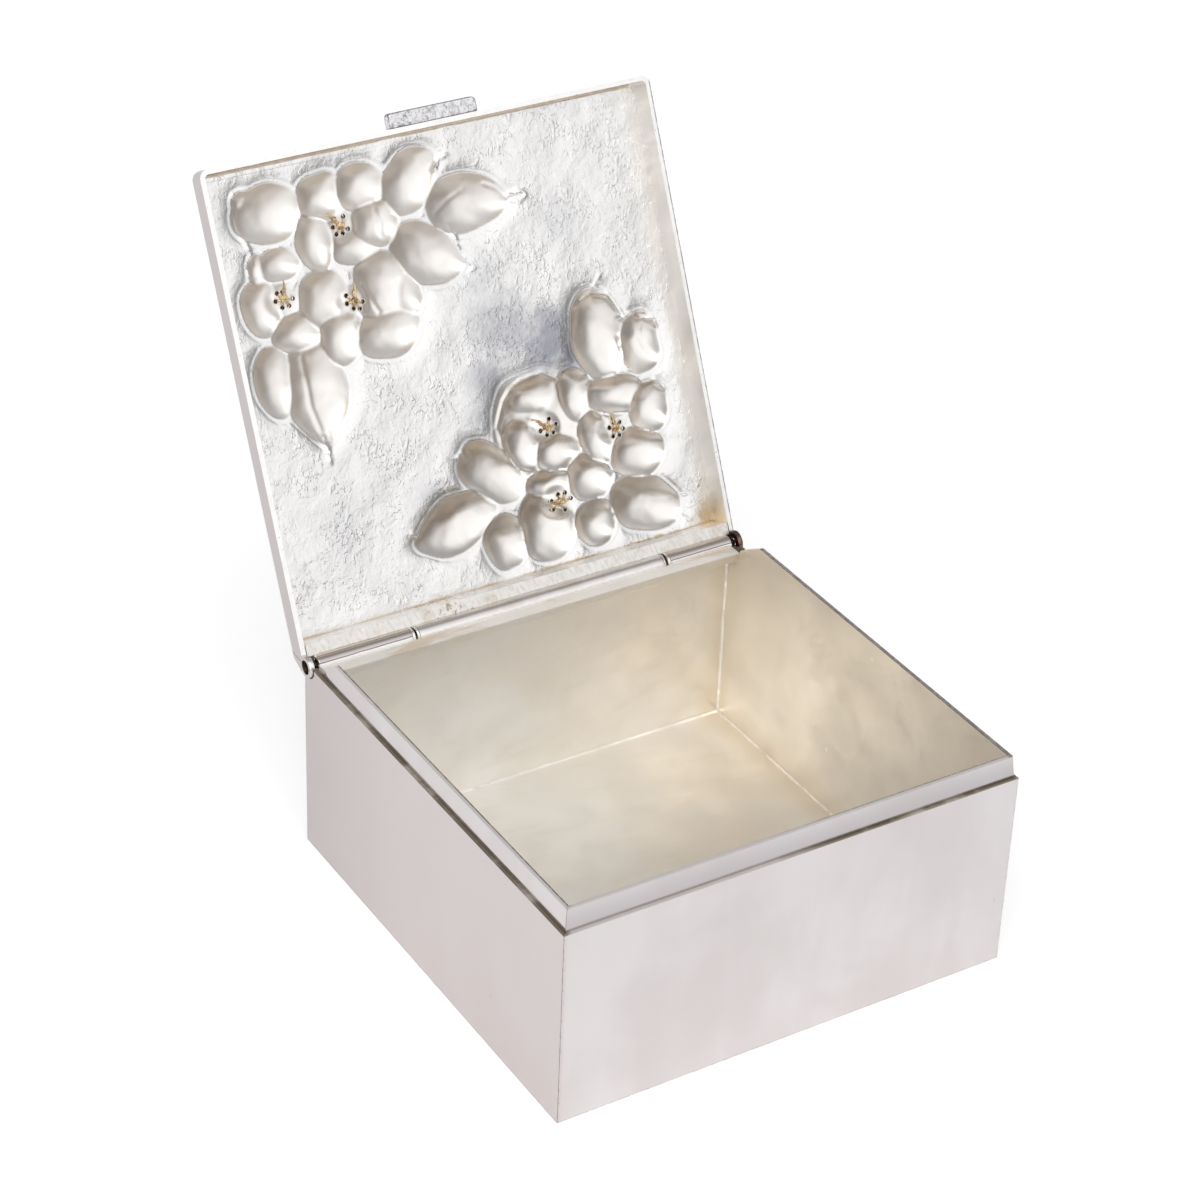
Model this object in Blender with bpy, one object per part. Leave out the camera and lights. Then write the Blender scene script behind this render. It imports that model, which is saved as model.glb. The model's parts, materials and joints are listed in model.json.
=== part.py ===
"""Square hinged keepsake box of silver-plated sheet brass, standing open at its stop.

Units are metres, +Z is up and the front of the box faces -Y. The origin is the
centre of the underside. The lid is modelled closed, around a pivot empty on the
hinge axis, and the pivot then turns it to the angle at which the lid rests.
"""

import math
from collections import namedtuple

import bmesh
import bpy
from mathutils import Matrix, Vector

# Clearances between neighbouring pieces
SOLDER_GAP = 0.0003
RUN_CLEARANCE = 0.0003

# Body: an outer case, and a liner inside it that stands up above the ledge
BODY_WIDTH = 0.1150
BODY_DEPTH = 0.1140
LEDGE_HEIGHT = 0.0495
WALL_SHEET = 0.0010
LINER_SHEET = 0.0010
BOTTOM_SHEET = 0.0010
UPSTAND_HEIGHT = 0.0055
RAMP_RUN = 0.0075

# Lid: a rim, a back wall and a repousse top that covers them
LID_OVERHANG = 0.0007
LID_SHEET = 0.0012
LID_RIM_HEIGHT = 0.0060
LID_CORNER_RADIUS = 0.0018
PANEL_SHEET = 0.0010
OPEN_ANGLE_DEG = 115.0

# Hinge: three tubes on one pin, with the rim's rear lobes at its ends
TUBE_RADIUS = 0.0021
PIN_RADIUS = 0.0008
AXIS_BELOW_LEDGE = 0.0004
AXIS_BEFORE_BACK = 0.0016
LOBE_RADIUS = 0.0026
KNUCKLE_END_INSET = 0.0020
LEFT_KNUCKLE_LENGTH = 0.0250
RIGHT_KNUCKLE_LENGTH = 0.0185
PIN_RECESS = 0.0009
BEARER_DEPTH = 0.0057
BEARER_FACE_HEIGHT = 0.0022
BEARER_HEIGHT = 0.0039
BEARER_FLAT = 0.0021
LID_BAR_DEPTH = 0.0050
LID_BAR_LEFT_INSET = 0.0016
LID_BAR_RIGHT_INSET = 0.0006

# Thumb tab on the front of the rim
TAB_WIDTH = 0.0227
TAB_REACH = 0.0032
TAB_THICKNESS = 0.0026
TAB_ABOVE_RIM_EDGE = 0.0007
TAB_OFFSET = 0.0012
TAB_CORNER_RADIUS = 0.0011

# Relief: bumps pushed outwards, hollow when seen from inside
RELIEF_CELL = 0.0046
RELIEF_CUT_COUNT = 2
RELIEF_SAMPLE_COUNT = 4
OUTLINE_POWER = 2.3
BUMP_EDGE_POWER = 0.62
OUTLINE_PULL_SHARE = 0.47
OUTLINE_NEIGHBOUR_RISE = 0.0006
OUTLINE_PROBE = 0.00001
OUTLINE_BAND = 0.5
OUTLINE_STEP_COUNT = 2
BORDER_FADE = 0.0030
EYE_RADIUS = 0.0024
EYE_BLEND = 0.0020
EYE_RISE = 0.0010

# Stamens: brass wires through holes in each blossom's eye, tails bent inwards
STAMEN_COUNT = 6
STAMEN_RING_RADIUS = 0.00185
STAMEN_HOLE_RADIUS = 0.00052
WIRE_RADIUS = 0.00022
WIRE_RISE = 0.0034
WIRE_SPLAY = 0.0009
WIRE_BEAD_SCALE = 2.0
WIRE_BEAD_LENGTH = 0.0009
TAIL_DROP = 0.0008
TAIL_END_RADIUS = 0.0009

ROUND_SIDES = 24
HOLE_SIDES = 8
CORNER_STEPS = 5
TAB_CORNER_STEPS = 4
GROOVE_STEPS = 12
NOTCH_STEPS = 10
EDGE_GROOVE_STEPS = 4
LOBE_STEPS = 18
LOBE_END_DEG = 430
MIN_BEND_SHARE = 0.25
CUTTER_REACH = 0.0050

# A bump is placed in millimetres from its spray's first blossom eye, x to the right
# and y to the hinge. length and width are halves, turn runs from x towards y, and
# taper draws the end at +length to a point.
MM = 0.001
Bump = namedtuple("Bump", "x y length width turn depth taper", defaults=(0.0,))
Eye = namedtuple("Eye", "x y phase")
Spray = namedtuple("Spray", "side_inset end_inset corner bumps eyes")

FRONT_LEFT_BUMPS = (
    Bump(-17.4, -6.3, 7.9, 6.3, 0, 2.5),
    Bump(-22.3, -10.1, 2.8, 2.6, 0, 1.4),
    Bump(-3.5, -7.5, 5.8, 5.4, 0, 2.6),
    Bump(6.8, -7.7, 5.9, 5.4, 0, 2.6),
    Bump(8.7, 0.8, 6.1, 5.1, 10, 2.6),
    Bump(2.3, 5.1, 5.9, 4.2, 10, 1.7),
    Bump(-7, 2.2, 4.2, 6.3, 0, 2.6),
    Bump(19.1, -6.7, 8.6, 6.2, -35, 2.5, 0.25),
    Bump(32.7, 0.9, 10.5, 6.5, 3, 2.7, 0.4),
    Bump(20.1, 10.5, 9.5, 6.4, 33, 2.6, 0.35),
    Bump(-16.7, 5.3, 4.7, 3.7, 0, 1.9),
    Bump(-22.1, 5.3, 2.2, 3.1, 0, 1.2),
    Bump(-23.2, 14.1, 4.3, 6.5, 0, 2.4),
    Bump(-15.8, 21.1, 5.9, 4.4, 5, 2.4),
    Bump(-7.5, 15.3, 6, 6.8, 0, 2.8),
    Bump(-5.1, 24.1, 5.6, 6.4, 10, 2.6),
    Bump(7.7, 15.9, 7.2, 8.5, 0, 2.9),
    Bump(6.5, 25.7, 7.9, 5.8, -8, 2.8),
    Bump(12.9, 18.3, 3.6, 5.6, 0, 1.9),
    Bump(-23.4, 31, 4.7, 7.8, 0, 2.4),
    Bump(-13.7, 35.3, 11.8, 7.4, 91, 2.8, 0.42),
)
FRONT_LEFT_EYES = (
    Eye(0.0, 0.0, 10),
    Eye(-17.4, 12.8, 35),
    Eye(-0.2, 17.0, 20),
)
REAR_RIGHT_BUMPS = (
    Bump(-2.6, -1.6, 11.3, 12, 0, 1.7),
    Bump(-2.5, -7.6, 6.7, 5, 0, 3),
    Bump(8.8, -5.6, 4.7, 6.3, -8, 2.7),
    Bump(-7.2, 2.6, 5.2, 7.1, 0, 3.1),
    Bump(1.2, 6.1, 6.1, 4.7, 0, 2.7),
    Bump(18.8, -3.6, 7.8, 4.6, 5, 2.8),
    Bump(27.5, 1.4, 5.5, 5.8, 0, 2.6),
    Bump(22.5, 11.4, 7.1, 5.8, 10, 2.9),
    Bump(12.2, 5.3, 4.6, 6.8, 0, 2.6),
    Bump(-2.8, 13.2, 5.7, 3.9, 0, 2.2),
    Bump(8.4, 14, 6, 5.4, 20, 2.6),
    Bump(-5, 22.4, 7.4, 8.2, 0, 3),
    Bump(7.5, 25.1, 5.2, 5.5, 0, 2.5),
    Bump(17.8, -18.6, 7.1, 10.7, 0, 3.1),
    Bump(28.4, -14, 5.2, 7.3, 0, 2.6),
    Bump(-16.3, 7, 9.6, 6.1, 40, 2.8, 0.1),
    Bump(-28.2, 16.6, 11.1, 6.3, 166, 2.7, 0.3),
    Bump(-16.5, 23.7, 5.5, 6.6, 0, 2.5),
    Bump(21.8, 23.8, 9.6, 6.5, 25, 2.7, 0.25),
)
REAR_RIGHT_EYES = (
    Eye(0.0, 0.0, 15),
    Eye(18.0, 4.3, 40),
    Eye(0.0, 18.0, 5),
)
SPRAYS = (
    Spray(0.0339, 0.0192, (-1, -1), FRONT_LEFT_BUMPS, FRONT_LEFT_EYES),
    Spray(0.0404, 0.0390, (1, 1), REAR_RIGHT_BUMPS, REAR_RIGHT_EYES),
)

# Faces, planes and lines that several pieces share
HALF_WIDTH = BODY_WIDTH / 2
HALF_DEPTH = BODY_DEPTH / 2
WALL_INNER_X = HALF_WIDTH - WALL_SHEET
WALL_INNER_Y = HALF_DEPTH - WALL_SHEET
LINER_OUTER_X = WALL_INNER_X - SOLDER_GAP
LINER_OUTER_Y = WALL_INNER_Y - SOLDER_GAP
LINER_INNER_X = LINER_OUTER_X - LINER_SHEET
LINER_INNER_Y = LINER_OUTER_Y - LINER_SHEET
LINER_FOOT_Z = BOTTOM_SHEET + SOLDER_GAP
UPSTAND_TOP_Z = LEDGE_HEIGHT + UPSTAND_HEIGHT
AXIS_Y = HALF_DEPTH - AXIS_BEFORE_BACK
AXIS_Z = LEDGE_HEIGHT - AXIS_BELOW_LEDGE
GROOVE_RADIUS = TUBE_RADIUS + RUN_CLEARANCE
BORE_RADIUS = PIN_RADIUS + RUN_CLEARANCE
NOTCH_RADIUS = LOBE_RADIUS + RUN_CLEARANCE
BEARER_FRONT_Y = LINER_OUTER_Y - BEARER_DEPTH
BEARER_FOOT_Z = LEDGE_HEIGHT - BEARER_HEIGHT
RIM_EDGE_Z = LEDGE_HEIGHT + RUN_CLEARANCE
RIM_TOP_Z = RIM_EDGE_Z + LID_RIM_HEIGHT
PANEL_Z = RIM_TOP_Z + SOLDER_GAP
LID_OUTER_X = HALF_WIDTH + LID_OVERHANG
LID_FRONT_Y = -HALF_DEPTH - LID_OVERHANG
LID_INNER_X = LID_OUTER_X - LID_SHEET
LID_BACK_Y = HALF_DEPTH
BACK_WALL_INNER_Y = LID_BACK_Y - LID_SHEET
LID_BAR_BACK_Y = BACK_WALL_INNER_Y - SOLDER_GAP
LID_BAR_FRONT_Y = LID_BAR_BACK_Y - LID_BAR_DEPTH
RAMP_LOW_Y = min(LID_BAR_FRONT_Y, BEARER_FRONT_Y) - RUN_CLEARANCE
KNUCKLE_LEFT_X = -HALF_WIDTH + KNUCKLE_END_INSET
KNUCKLE_RIGHT_X = HALF_WIDTH - KNUCKLE_END_INSET
LEFT_SPLIT_X = KNUCKLE_LEFT_X + LEFT_KNUCKLE_LENGTH
RIGHT_SPLIT_X = KNUCKLE_RIGHT_X - RIGHT_KNUCKLE_LENGTH


def clear_scene():
    """Remove the objects of the start-up file."""
    for obj in list(bpy.data.objects):
        bpy.data.objects.remove(obj, do_unlink=True)


def make_material(name, color, roughness, metallic=1.0):
    """Return a Principled material of one plain colour."""
    material = bpy.data.materials.new(name)
    material.use_nodes = True
    shader = material.node_tree.nodes["Principled BSDF"]
    shader.inputs["Base Color"].default_value = (*color, 1.0)
    shader.inputs["Roughness"].default_value = roughness
    shader.inputs["Metallic"].default_value = metallic
    return material


def add_object(name, data, material=None, pivot=None):
    """Link an object to the scene; a piece of the lid hangs on the pivot."""
    obj = bpy.data.objects.new(name, data)
    bpy.context.scene.collection.objects.link(obj)
    if material is not None:
        data.materials.append(material)
    if pivot is not None:
        obj.parent = pivot
    return obj


def finish_mesh(bm, name, origin=Vector((0, 0, 0)), smooth_angle=None):
    """Turn the faces outwards, move the mesh to its origin and return it."""
    bmesh.ops.recalc_face_normals(bm, faces=bm.faces)
    bmesh.ops.translate(bm, verts=bm.verts, vec=-origin)
    mesh = bpy.data.meshes.new(name)
    bm.to_mesh(mesh)
    bm.free()
    if smooth_angle is not None:
        mesh.shade_smooth()
        mesh.set_sharp_from_angle(angle=smooth_angle)
    return mesh


def box_bmesh(low, high):
    """Return a box between two corners."""
    bm = bmesh.new()
    size = Vector(high) - Vector(low)
    centre = (Vector(high) + Vector(low)) / 2
    bmesh.ops.create_cube(bm, size=1.0, matrix=Matrix.Translation(centre) @ Matrix.Diagonal((*size, 1.0)))
    return bm


def prism_bmesh(points, axis, low, high):
    """Extrude an outline along X or Z from low to high.

    Along X the outline's points are (y, z), and along Z they are (x, y).
    """
    bm = bmesh.new()
    if axis == "X":
        corners = [bm.verts.new((low, a, b)) for a, b in points]
        step = Vector((high - low, 0, 0))
    else:
        corners = [bm.verts.new((a, b, low)) for a, b in points]
        step = Vector((0, 0, high - low))
    face = bm.faces.new(corners)
    extruded = bmesh.ops.extrude_face_region(bm, geom=[face])
    raised = [item for item in extruded["geom"] if isinstance(item, bmesh.types.BMVert)]
    bmesh.ops.translate(bm, verts=raised, vec=step)
    return bm


def arc(centre, radius, start_deg, end_deg, steps):
    """Return points on an arc, both ends included."""
    points = []
    for index in range(steps + 1):
        angle = math.radians(start_deg + (end_deg - start_deg) * index / steps)
        points.append((centre[0] + radius * math.cos(angle), centre[1] + radius * math.sin(angle)))
    return points


def tube_mesh(name, outer, inner, low_x, high_x):
    """Revolve a wall section about the hinge axis; the mesh is centred on the axis."""
    bm = bmesh.new()
    section = [(low_x, inner), (high_x, inner), (high_x, outer), (low_x, outer)]
    corners = [bm.verts.new((x, 0, r)) for x, r in section]
    edges = [bm.edges.new((corners[index - 1], corners[index])) for index in range(4)]
    bmesh.ops.spin(bm, geom=corners + edges, cent=(0, 0, 0), axis=(1, 0, 0),
                   angle=2 * math.pi, steps=ROUND_SIDES, use_merge=True)
    bmesh.ops.remove_doubles(bm, verts=bm.verts, dist=1e-6)
    return finish_mesh(bm, name, smooth_angle=math.radians(40))


def add_boolean(obj, cutter, operation):
    """Cut or trim an object with a hidden guide."""
    cutter.hide_render = True
    cutter.display_type = "WIRE"
    modifier = obj.modifiers.new(cutter.name, "BOOLEAN")
    modifier.operation = operation
    modifier.solver = "EXACT"
    modifier.object = cutter


def mitre(bm, inner_coord, axis, end_low, end_high, sheet):
    """Shorten the inner face of a wall by its sheet at both ends, for a mitred corner."""
    along = 1 - axis
    for vert in bm.verts:
        if abs(vert.co[axis] - inner_coord) > 1e-7:
            continue
        if abs(vert.co[along] - end_low) < 1e-7:
            vert.co[along] += sheet
        elif abs(vert.co[along] - end_high) < 1e-7:
            vert.co[along] -= sheet


def build_bottom(silver):
    """The floor sheet, let in between the case walls and flush with their feet."""
    reach_x = LINER_OUTER_X
    reach_y = LINER_OUTER_Y
    bm = box_bmesh((-reach_x, -reach_y, 0), (reach_x, reach_y, BOTTOM_SHEET))
    add_object("bottom_plate", finish_mesh(bm, "bottom_plate"), silver)


def long_wall(name, material, outer_y, inner_y, reach_x, low_z, high_z, sheet):
    """A front or back sheet, mitred into the side sheets."""
    low_y, high_y = sorted((outer_y, inner_y))
    bm = box_bmesh((-reach_x, low_y, low_z), (reach_x, high_y, high_z))
    mitre(bm, inner_y, 1, -reach_x, reach_x, sheet)
    return add_object(name, finish_mesh(bm, name), material)


def side_wall(name, material, outline, outer_x, inner_x, front_y, back_y, sheet):
    """A left or right sheet cut to its outline, mitred into the front and back sheets."""
    low_x, high_x = sorted((outer_x, inner_x))
    bm = prism_bmesh(outline, "X", low_x, high_x)
    mitre(bm, inner_x, 0, front_y, back_y, sheet)
    return add_object(name, finish_mesh(bm, name), material)


def notch_points(radius, back_y, top_z, steps):
    """The edge of a wall where it clears a round on the hinge axis, from back to front."""
    back_angle = -math.degrees(math.acos((back_y - AXIS_Y) / radius))
    front_angle = -180 - math.degrees(math.asin((top_z - AXIS_Z) / radius))
    return arc((AXIS_Y, AXIS_Z), radius, back_angle, front_angle, steps)


def lobe_notch_guide():
    """Two rounds on the hinge axis that clear the rim's lobes at the ends of the back sheet."""
    bm = bmesh.new()
    for sign in (-1, 1):
        centre = sign * (LID_INNER_X - RUN_CLEARANCE + CUTTER_REACH / 2)
        place = Matrix.Translation((centre, AXIS_Y, AXIS_Z)) @ Matrix.Rotation(math.pi / 2, 4, "Y")
        bmesh.ops.create_cone(bm, cap_ends=True, segments=ROUND_SIDES, radius1=NOTCH_RADIUS,
                              radius2=NOTCH_RADIUS, depth=CUTTER_REACH, matrix=place)
    return add_object("lobe_notch_guide", finish_mesh(bm, "lobe_notch_guide"))


def build_case(silver):
    """Four outer sheets with mitred corners, cut away at the back for the hinge."""
    mitre_gap = SOLDER_GAP / math.sqrt(2)
    reach_x = HALF_WIDTH - mitre_gap
    reach_y = HALF_DEPTH - mitre_gap
    long_wall("front_wall", silver, -HALF_DEPTH, -WALL_INNER_Y, reach_x, 0, LEDGE_HEIGHT, WALL_SHEET)

    groove = arc((AXIS_Y, AXIS_Z), GROOVE_RADIUS,
                 -math.degrees(math.acos((HALF_DEPTH - AXIS_Y) / GROOVE_RADIUS)),
                 -math.degrees(math.acos((WALL_INNER_Y - AXIS_Y) / GROOVE_RADIUS)), EDGE_GROOVE_STEPS)
    back_outline = [(WALL_INNER_Y, 0), (HALF_DEPTH, 0), *groove]
    bm = prism_bmesh(back_outline, "X", -reach_x, reach_x)
    for vert in bm.verts:
        depth = (HALF_DEPTH - vert.co.y) / WALL_SHEET
        vert.co.x -= math.copysign(depth * WALL_SHEET, vert.co.x)
    back = add_object("back_wall", finish_mesh(bm, "back_wall"), silver)
    add_boolean(back, lobe_notch_guide(), "DIFFERENCE")

    outline = [(-reach_y, 0), (reach_y, 0), *notch_points(NOTCH_RADIUS, reach_y, LEDGE_HEIGHT, NOTCH_STEPS),
               (-reach_y, LEDGE_HEIGHT)]
    for name, sign in (("left_wall", -1), ("right_wall", 1)):
        side_wall(name, silver, outline, sign * HALF_WIDTH, sign * WALL_INNER_X,
                  -reach_y, reach_y, WALL_SHEET)


def build_liner(satin):
    """Four inner sheets that stand up above the ledge and ramp down to the hinge."""
    mitre_gap = SOLDER_GAP / math.sqrt(2)
    reach_x = LINER_OUTER_X - mitre_gap
    reach_y = LINER_OUTER_Y - mitre_gap
    long_wall("liner_front", satin, -LINER_OUTER_Y, -LINER_INNER_Y, reach_x,
              LINER_FOOT_Z, UPSTAND_TOP_Z, LINER_SHEET)
    long_wall("liner_back", satin, LINER_OUTER_Y, LINER_INNER_Y, reach_x,
              LINER_FOOT_Z, BEARER_FOOT_Z - SOLDER_GAP, LINER_SHEET)
    outline = [(-reach_y, LINER_FOOT_Z), (reach_y, LINER_FOOT_Z),
               *notch_points(GROOVE_RADIUS, reach_y, LEDGE_HEIGHT, NOTCH_STEPS),
               (RAMP_LOW_Y, LEDGE_HEIGHT), (RAMP_LOW_Y - RAMP_RUN, UPSTAND_TOP_Z),
               (-reach_y, UPSTAND_TOP_Z)]
    for name, sign in (("liner_left", -1), ("liner_right", 1)):
        side_wall(name, satin, outline, sign * LINER_OUTER_X, sign * LINER_INNER_X,
                  -reach_y, reach_y, LINER_SHEET)


def build_body_hinge(silver, satin, steel):
    """The grooved bearer, the two outer tubes that it carries, and the pin."""
    groove = notch_points(GROOVE_RADIUS, LINER_OUTER_Y, LEDGE_HEIGHT, GROOVE_STEPS)
    outline = [(BEARER_FRONT_Y, LEDGE_HEIGHT), (BEARER_FRONT_Y, LEDGE_HEIGHT - BEARER_FACE_HEIGHT),
               (LINER_OUTER_Y - BEARER_FLAT, BEARER_FOOT_Z), (LINER_OUTER_Y, BEARER_FOOT_Z), *groove]
    reach_x = LINER_INNER_X - SOLDER_GAP
    bm = prism_bmesh(outline, "X", -reach_x, reach_x)
    add_object("body_bearer", finish_mesh(bm, "body_bearer"), satin)

    tubes = (
        ("body_knuckle_left", KNUCKLE_LEFT_X, LEFT_SPLIT_X - RUN_CLEARANCE / 2),
        ("body_knuckle_right", RIGHT_SPLIT_X + RUN_CLEARANCE / 2, KNUCKLE_RIGHT_X),
    )
    for name, low_x, high_x in tubes:
        tube = add_object(name, tube_mesh(name, TUBE_RADIUS, BORE_RADIUS, low_x, high_x), silver)
        tube.location = (0, AXIS_Y, AXIS_Z)

    pin_reach = LID_OUTER_X - PIN_RECESS
    bm = bmesh.new()
    bmesh.ops.create_cone(bm, cap_ends=True, segments=ROUND_SIDES, radius1=PIN_RADIUS,
                          radius2=PIN_RADIUS, depth=2 * pin_reach,
                          matrix=Matrix.Rotation(math.pi / 2, 4, "Y"))
    pin = add_object("hinge_pin", finish_mesh(bm, "hinge_pin", smooth_angle=math.radians(40)), steel)
    pin.location = (0, AXIS_Y, AXIS_Z)


def rounded_u(outer_x, front_y, back_y, sheet, radius, steps):
    """Plan outline of a strip bent round the two front corners, open at the back."""
    inner_radius = max(radius - sheet, radius * MIN_BEND_SHARE)
    left, right = -outer_x + radius, outer_x - radius
    corner_y = front_y + radius
    inner_left = -outer_x + sheet + inner_radius
    inner_right = outer_x - sheet - inner_radius
    inner_y = front_y + sheet + inner_radius
    outer_edge = [(-outer_x, back_y), *arc((left, corner_y), radius, 180, 270, steps),
                  *arc((right, corner_y), radius, 270, 360, steps), (outer_x, back_y)]
    inner_edge = [(outer_x - sheet, back_y), *arc((inner_right, inner_y), inner_radius, 360, 270, steps),
                  *arc((inner_left, inner_y), inner_radius, 270, 180, steps), (-outer_x + sheet, back_y)]
    return outer_edge + inner_edge


def rim_side_outline():
    """Side view of the rim: a straight band that ends in a lobe on the hinge axis."""
    edge_rise = RIM_EDGE_Z - AXIS_Z
    front_angle = 180 - math.degrees(math.asin(edge_rise / LOBE_RADIUS))
    lobe = arc((AXIS_Y, AXIS_Z), LOBE_RADIUS, front_angle, LOBE_END_DEG, LOBE_STEPS)
    shoulder_z = AXIS_Z + back_clear_rise(NOTCH_RADIUS - GROOVE_RADIUS)
    front = LID_FRONT_Y - CUTTER_REACH
    return [(front, RIM_EDGE_Z), *lobe, (LID_BACK_Y, shoulder_z), (LID_BACK_Y, RIM_TOP_Z), (front, RIM_TOP_Z)]


def back_clear_rise(extra=0.0):
    """Height above the axis at which the lid's back meets the case's back at the open stop.

    A point of the back plane at this height turns by the open angle to a running
    clearance behind the case's back wall, so the wall is what stops the lid.
    """
    angle = math.radians(OPEN_ANGLE_DEG)
    behind = LID_BACK_Y - AXIS_Y
    reach = HALF_DEPTH - AXIS_Y + RUN_CLEARANCE + extra
    return (reach - behind * math.cos(angle)) / math.sin(angle)


def build_rim(silver, pivot):
    """The rim: one strip bent round the front corners, with a bored lobe at each end."""
    origin = Vector((0, AXIS_Y, AXIS_Z))
    back_y = AXIS_Y + LOBE_RADIUS
    plan = rounded_u(LID_OUTER_X, LID_FRONT_Y, back_y, LID_SHEET, LID_CORNER_RADIUS, CORNER_STEPS)
    bm = prism_bmesh(plan, "Z", AXIS_Z - LOBE_RADIUS - CUTTER_REACH, RIM_TOP_Z + CUTTER_REACH)
    rim = add_object("lid_rim", finish_mesh(bm, "lid_rim", origin), silver, pivot)

    reach = LID_OUTER_X + CUTTER_REACH
    bm = prism_bmesh(rim_side_outline(), "X", -reach, reach)
    guide = add_object("rim_profile_guide", finish_mesh(bm, "rim_profile_guide", origin), pivot=pivot)
    add_boolean(rim, guide, "INTERSECT")

    bm = bmesh.new()
    bmesh.ops.create_cone(bm, cap_ends=True, segments=ROUND_SIDES, radius1=BORE_RADIUS,
                          radius2=BORE_RADIUS, depth=2 * reach, matrix=Matrix.Rotation(math.pi / 2, 4, "Y"))
    bore = add_object("rim_bore_guide", finish_mesh(bm, "rim_bore_guide"), pivot=pivot)
    add_boolean(rim, bore, "DIFFERENCE")


def build_lid_back(silver, satin, pivot):
    """The lid's back wall, the grooved bar inside it and the middle tube."""
    origin = Vector((0, AXIS_Y, AXIS_Z))
    wall_foot = AXIS_Z + back_clear_rise()
    reach_x = LID_INNER_X - SOLDER_GAP
    bm = box_bmesh((-reach_x, BACK_WALL_INNER_Y, wall_foot), (reach_x, LID_BACK_Y, RIM_TOP_Z))
    add_object("lid_back_wall", finish_mesh(bm, "lid_back_wall", origin), silver, pivot)

    front_angle = 180 - math.degrees(math.asin((RIM_EDGE_Z - AXIS_Z) / GROOVE_RADIUS))
    back_angle = math.degrees(math.acos((LID_BAR_BACK_Y - AXIS_Y) / GROOVE_RADIUS))
    outline = [(LID_BAR_FRONT_Y, RIM_TOP_Z), (LID_BAR_FRONT_Y, RIM_EDGE_Z),
               *arc((AXIS_Y, AXIS_Z), GROOVE_RADIUS, front_angle, back_angle, GROOVE_STEPS),
               (LID_BAR_BACK_Y, RIM_TOP_Z)]
    bm = prism_bmesh(outline, "X", -LID_INNER_X + LID_BAR_LEFT_INSET, LID_INNER_X - LID_BAR_RIGHT_INSET)
    add_object("lid_bearer", finish_mesh(bm, "lid_bearer", origin), satin, pivot)

    mesh = tube_mesh("lid_knuckle", TUBE_RADIUS, BORE_RADIUS,
                     LEFT_SPLIT_X + RUN_CLEARANCE / 2, RIGHT_SPLIT_X - RUN_CLEARANCE / 2)
    add_object("lid_knuckle", mesh, silver, pivot)


def build_tab(silver, pivot):
    """The thumb tab: a thick strip with rounded front corners, soldered to the rim."""
    origin = Vector((0, AXIS_Y, AXIS_Z))
    back_y = LID_FRONT_Y - SOLDER_GAP
    front_y = back_y - TAB_REACH
    low_x = TAB_OFFSET - TAB_WIDTH / 2
    high_x = TAB_OFFSET + TAB_WIDTH / 2
    radius = TAB_CORNER_RADIUS
    outline = [(low_x, back_y),
               *arc((low_x + radius, front_y + radius), radius, 180, 270, TAB_CORNER_STEPS),
               *arc((high_x - radius, front_y + radius), radius, 270, 360, TAB_CORNER_STEPS),
               (high_x, back_y)]
    foot = RIM_EDGE_Z + TAB_ABOVE_RIM_EDGE
    bm = prism_bmesh(outline, "Z", foot, foot + TAB_THICKNESS)
    add_object("thumb_tab", finish_mesh(bm, "thumb_tab", origin), silver, pivot)


def spray_origin(spray):
    """Place of a spray's first blossom eye, set in from the lid corner that it fills."""
    side, end = spray.corner
    corner_y = LID_FRONT_Y if end < 0 else LID_BACK_Y
    return side * (LID_OUTER_X - spray.side_inset), corner_y - end * spray.end_inset


def placed_bumps():
    """All bumps as metres in the lid's plan."""
    placed = []
    for spray in SPRAYS:
        origin_x, origin_y = spray_origin(spray)
        for bump in spray.bumps:
            placed.append(Bump(origin_x + bump.x * MM, origin_y + bump.y * MM, bump.length * MM,
                               bump.width * MM, math.radians(bump.turn), bump.depth * MM, bump.taper))
    return placed


def placed_eyes():
    """All blossom eyes as metres in the lid's plan."""
    placed = []
    for spray in SPRAYS:
        origin_x, origin_y = spray_origin(spray)
        for eye in spray.eyes:
            placed.append(Eye(origin_x + eye.x * MM, origin_y + eye.y * MM, math.radians(eye.phase)))
    return placed


def bump_reach(bump, x, y):
    """Share of the way from a bump's middle to its outline; one lies on the outline."""
    dx, dy = x - bump.x, y - bump.y
    cos_turn, sin_turn = math.cos(bump.turn), math.sin(bump.turn)
    along = (dx * cos_turn + dy * sin_turn) / bump.length
    across = (dy * cos_turn - dx * sin_turn) / bump.width
    across /= 1 - bump.taper * min(max(along, 0), 1) ** 2
    return (abs(along) ** OUTLINE_POWER + abs(across) ** OUTLINE_POWER) ** (1 / OUTLINE_POWER)


def bump_rise(bump, x, y):
    """Height of one dome at a point: steep at its edge and round at its crown."""
    reach = bump_reach(bump, x, y)
    if reach >= 1:
        return 0.0
    return bump.depth * (1 - reach * reach) ** BUMP_EDGE_POWER


def outline_step(bump, x, y):
    """Step from a point straight to a bump's outline, to first order."""
    probe = OUTLINE_PROBE
    reach = bump_reach(bump, x, y)
    slope_x = (bump_reach(bump, x + probe, y) - bump_reach(bump, x - probe, y)) / (2 * probe)
    slope_y = (bump_reach(bump, x, y + probe) - bump_reach(bump, x, y - probe)) / (2 * probe)
    scale = (1 - reach) / (slope_x * slope_x + slope_y * slope_y)
    return slope_x * scale, slope_y * scale


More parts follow.
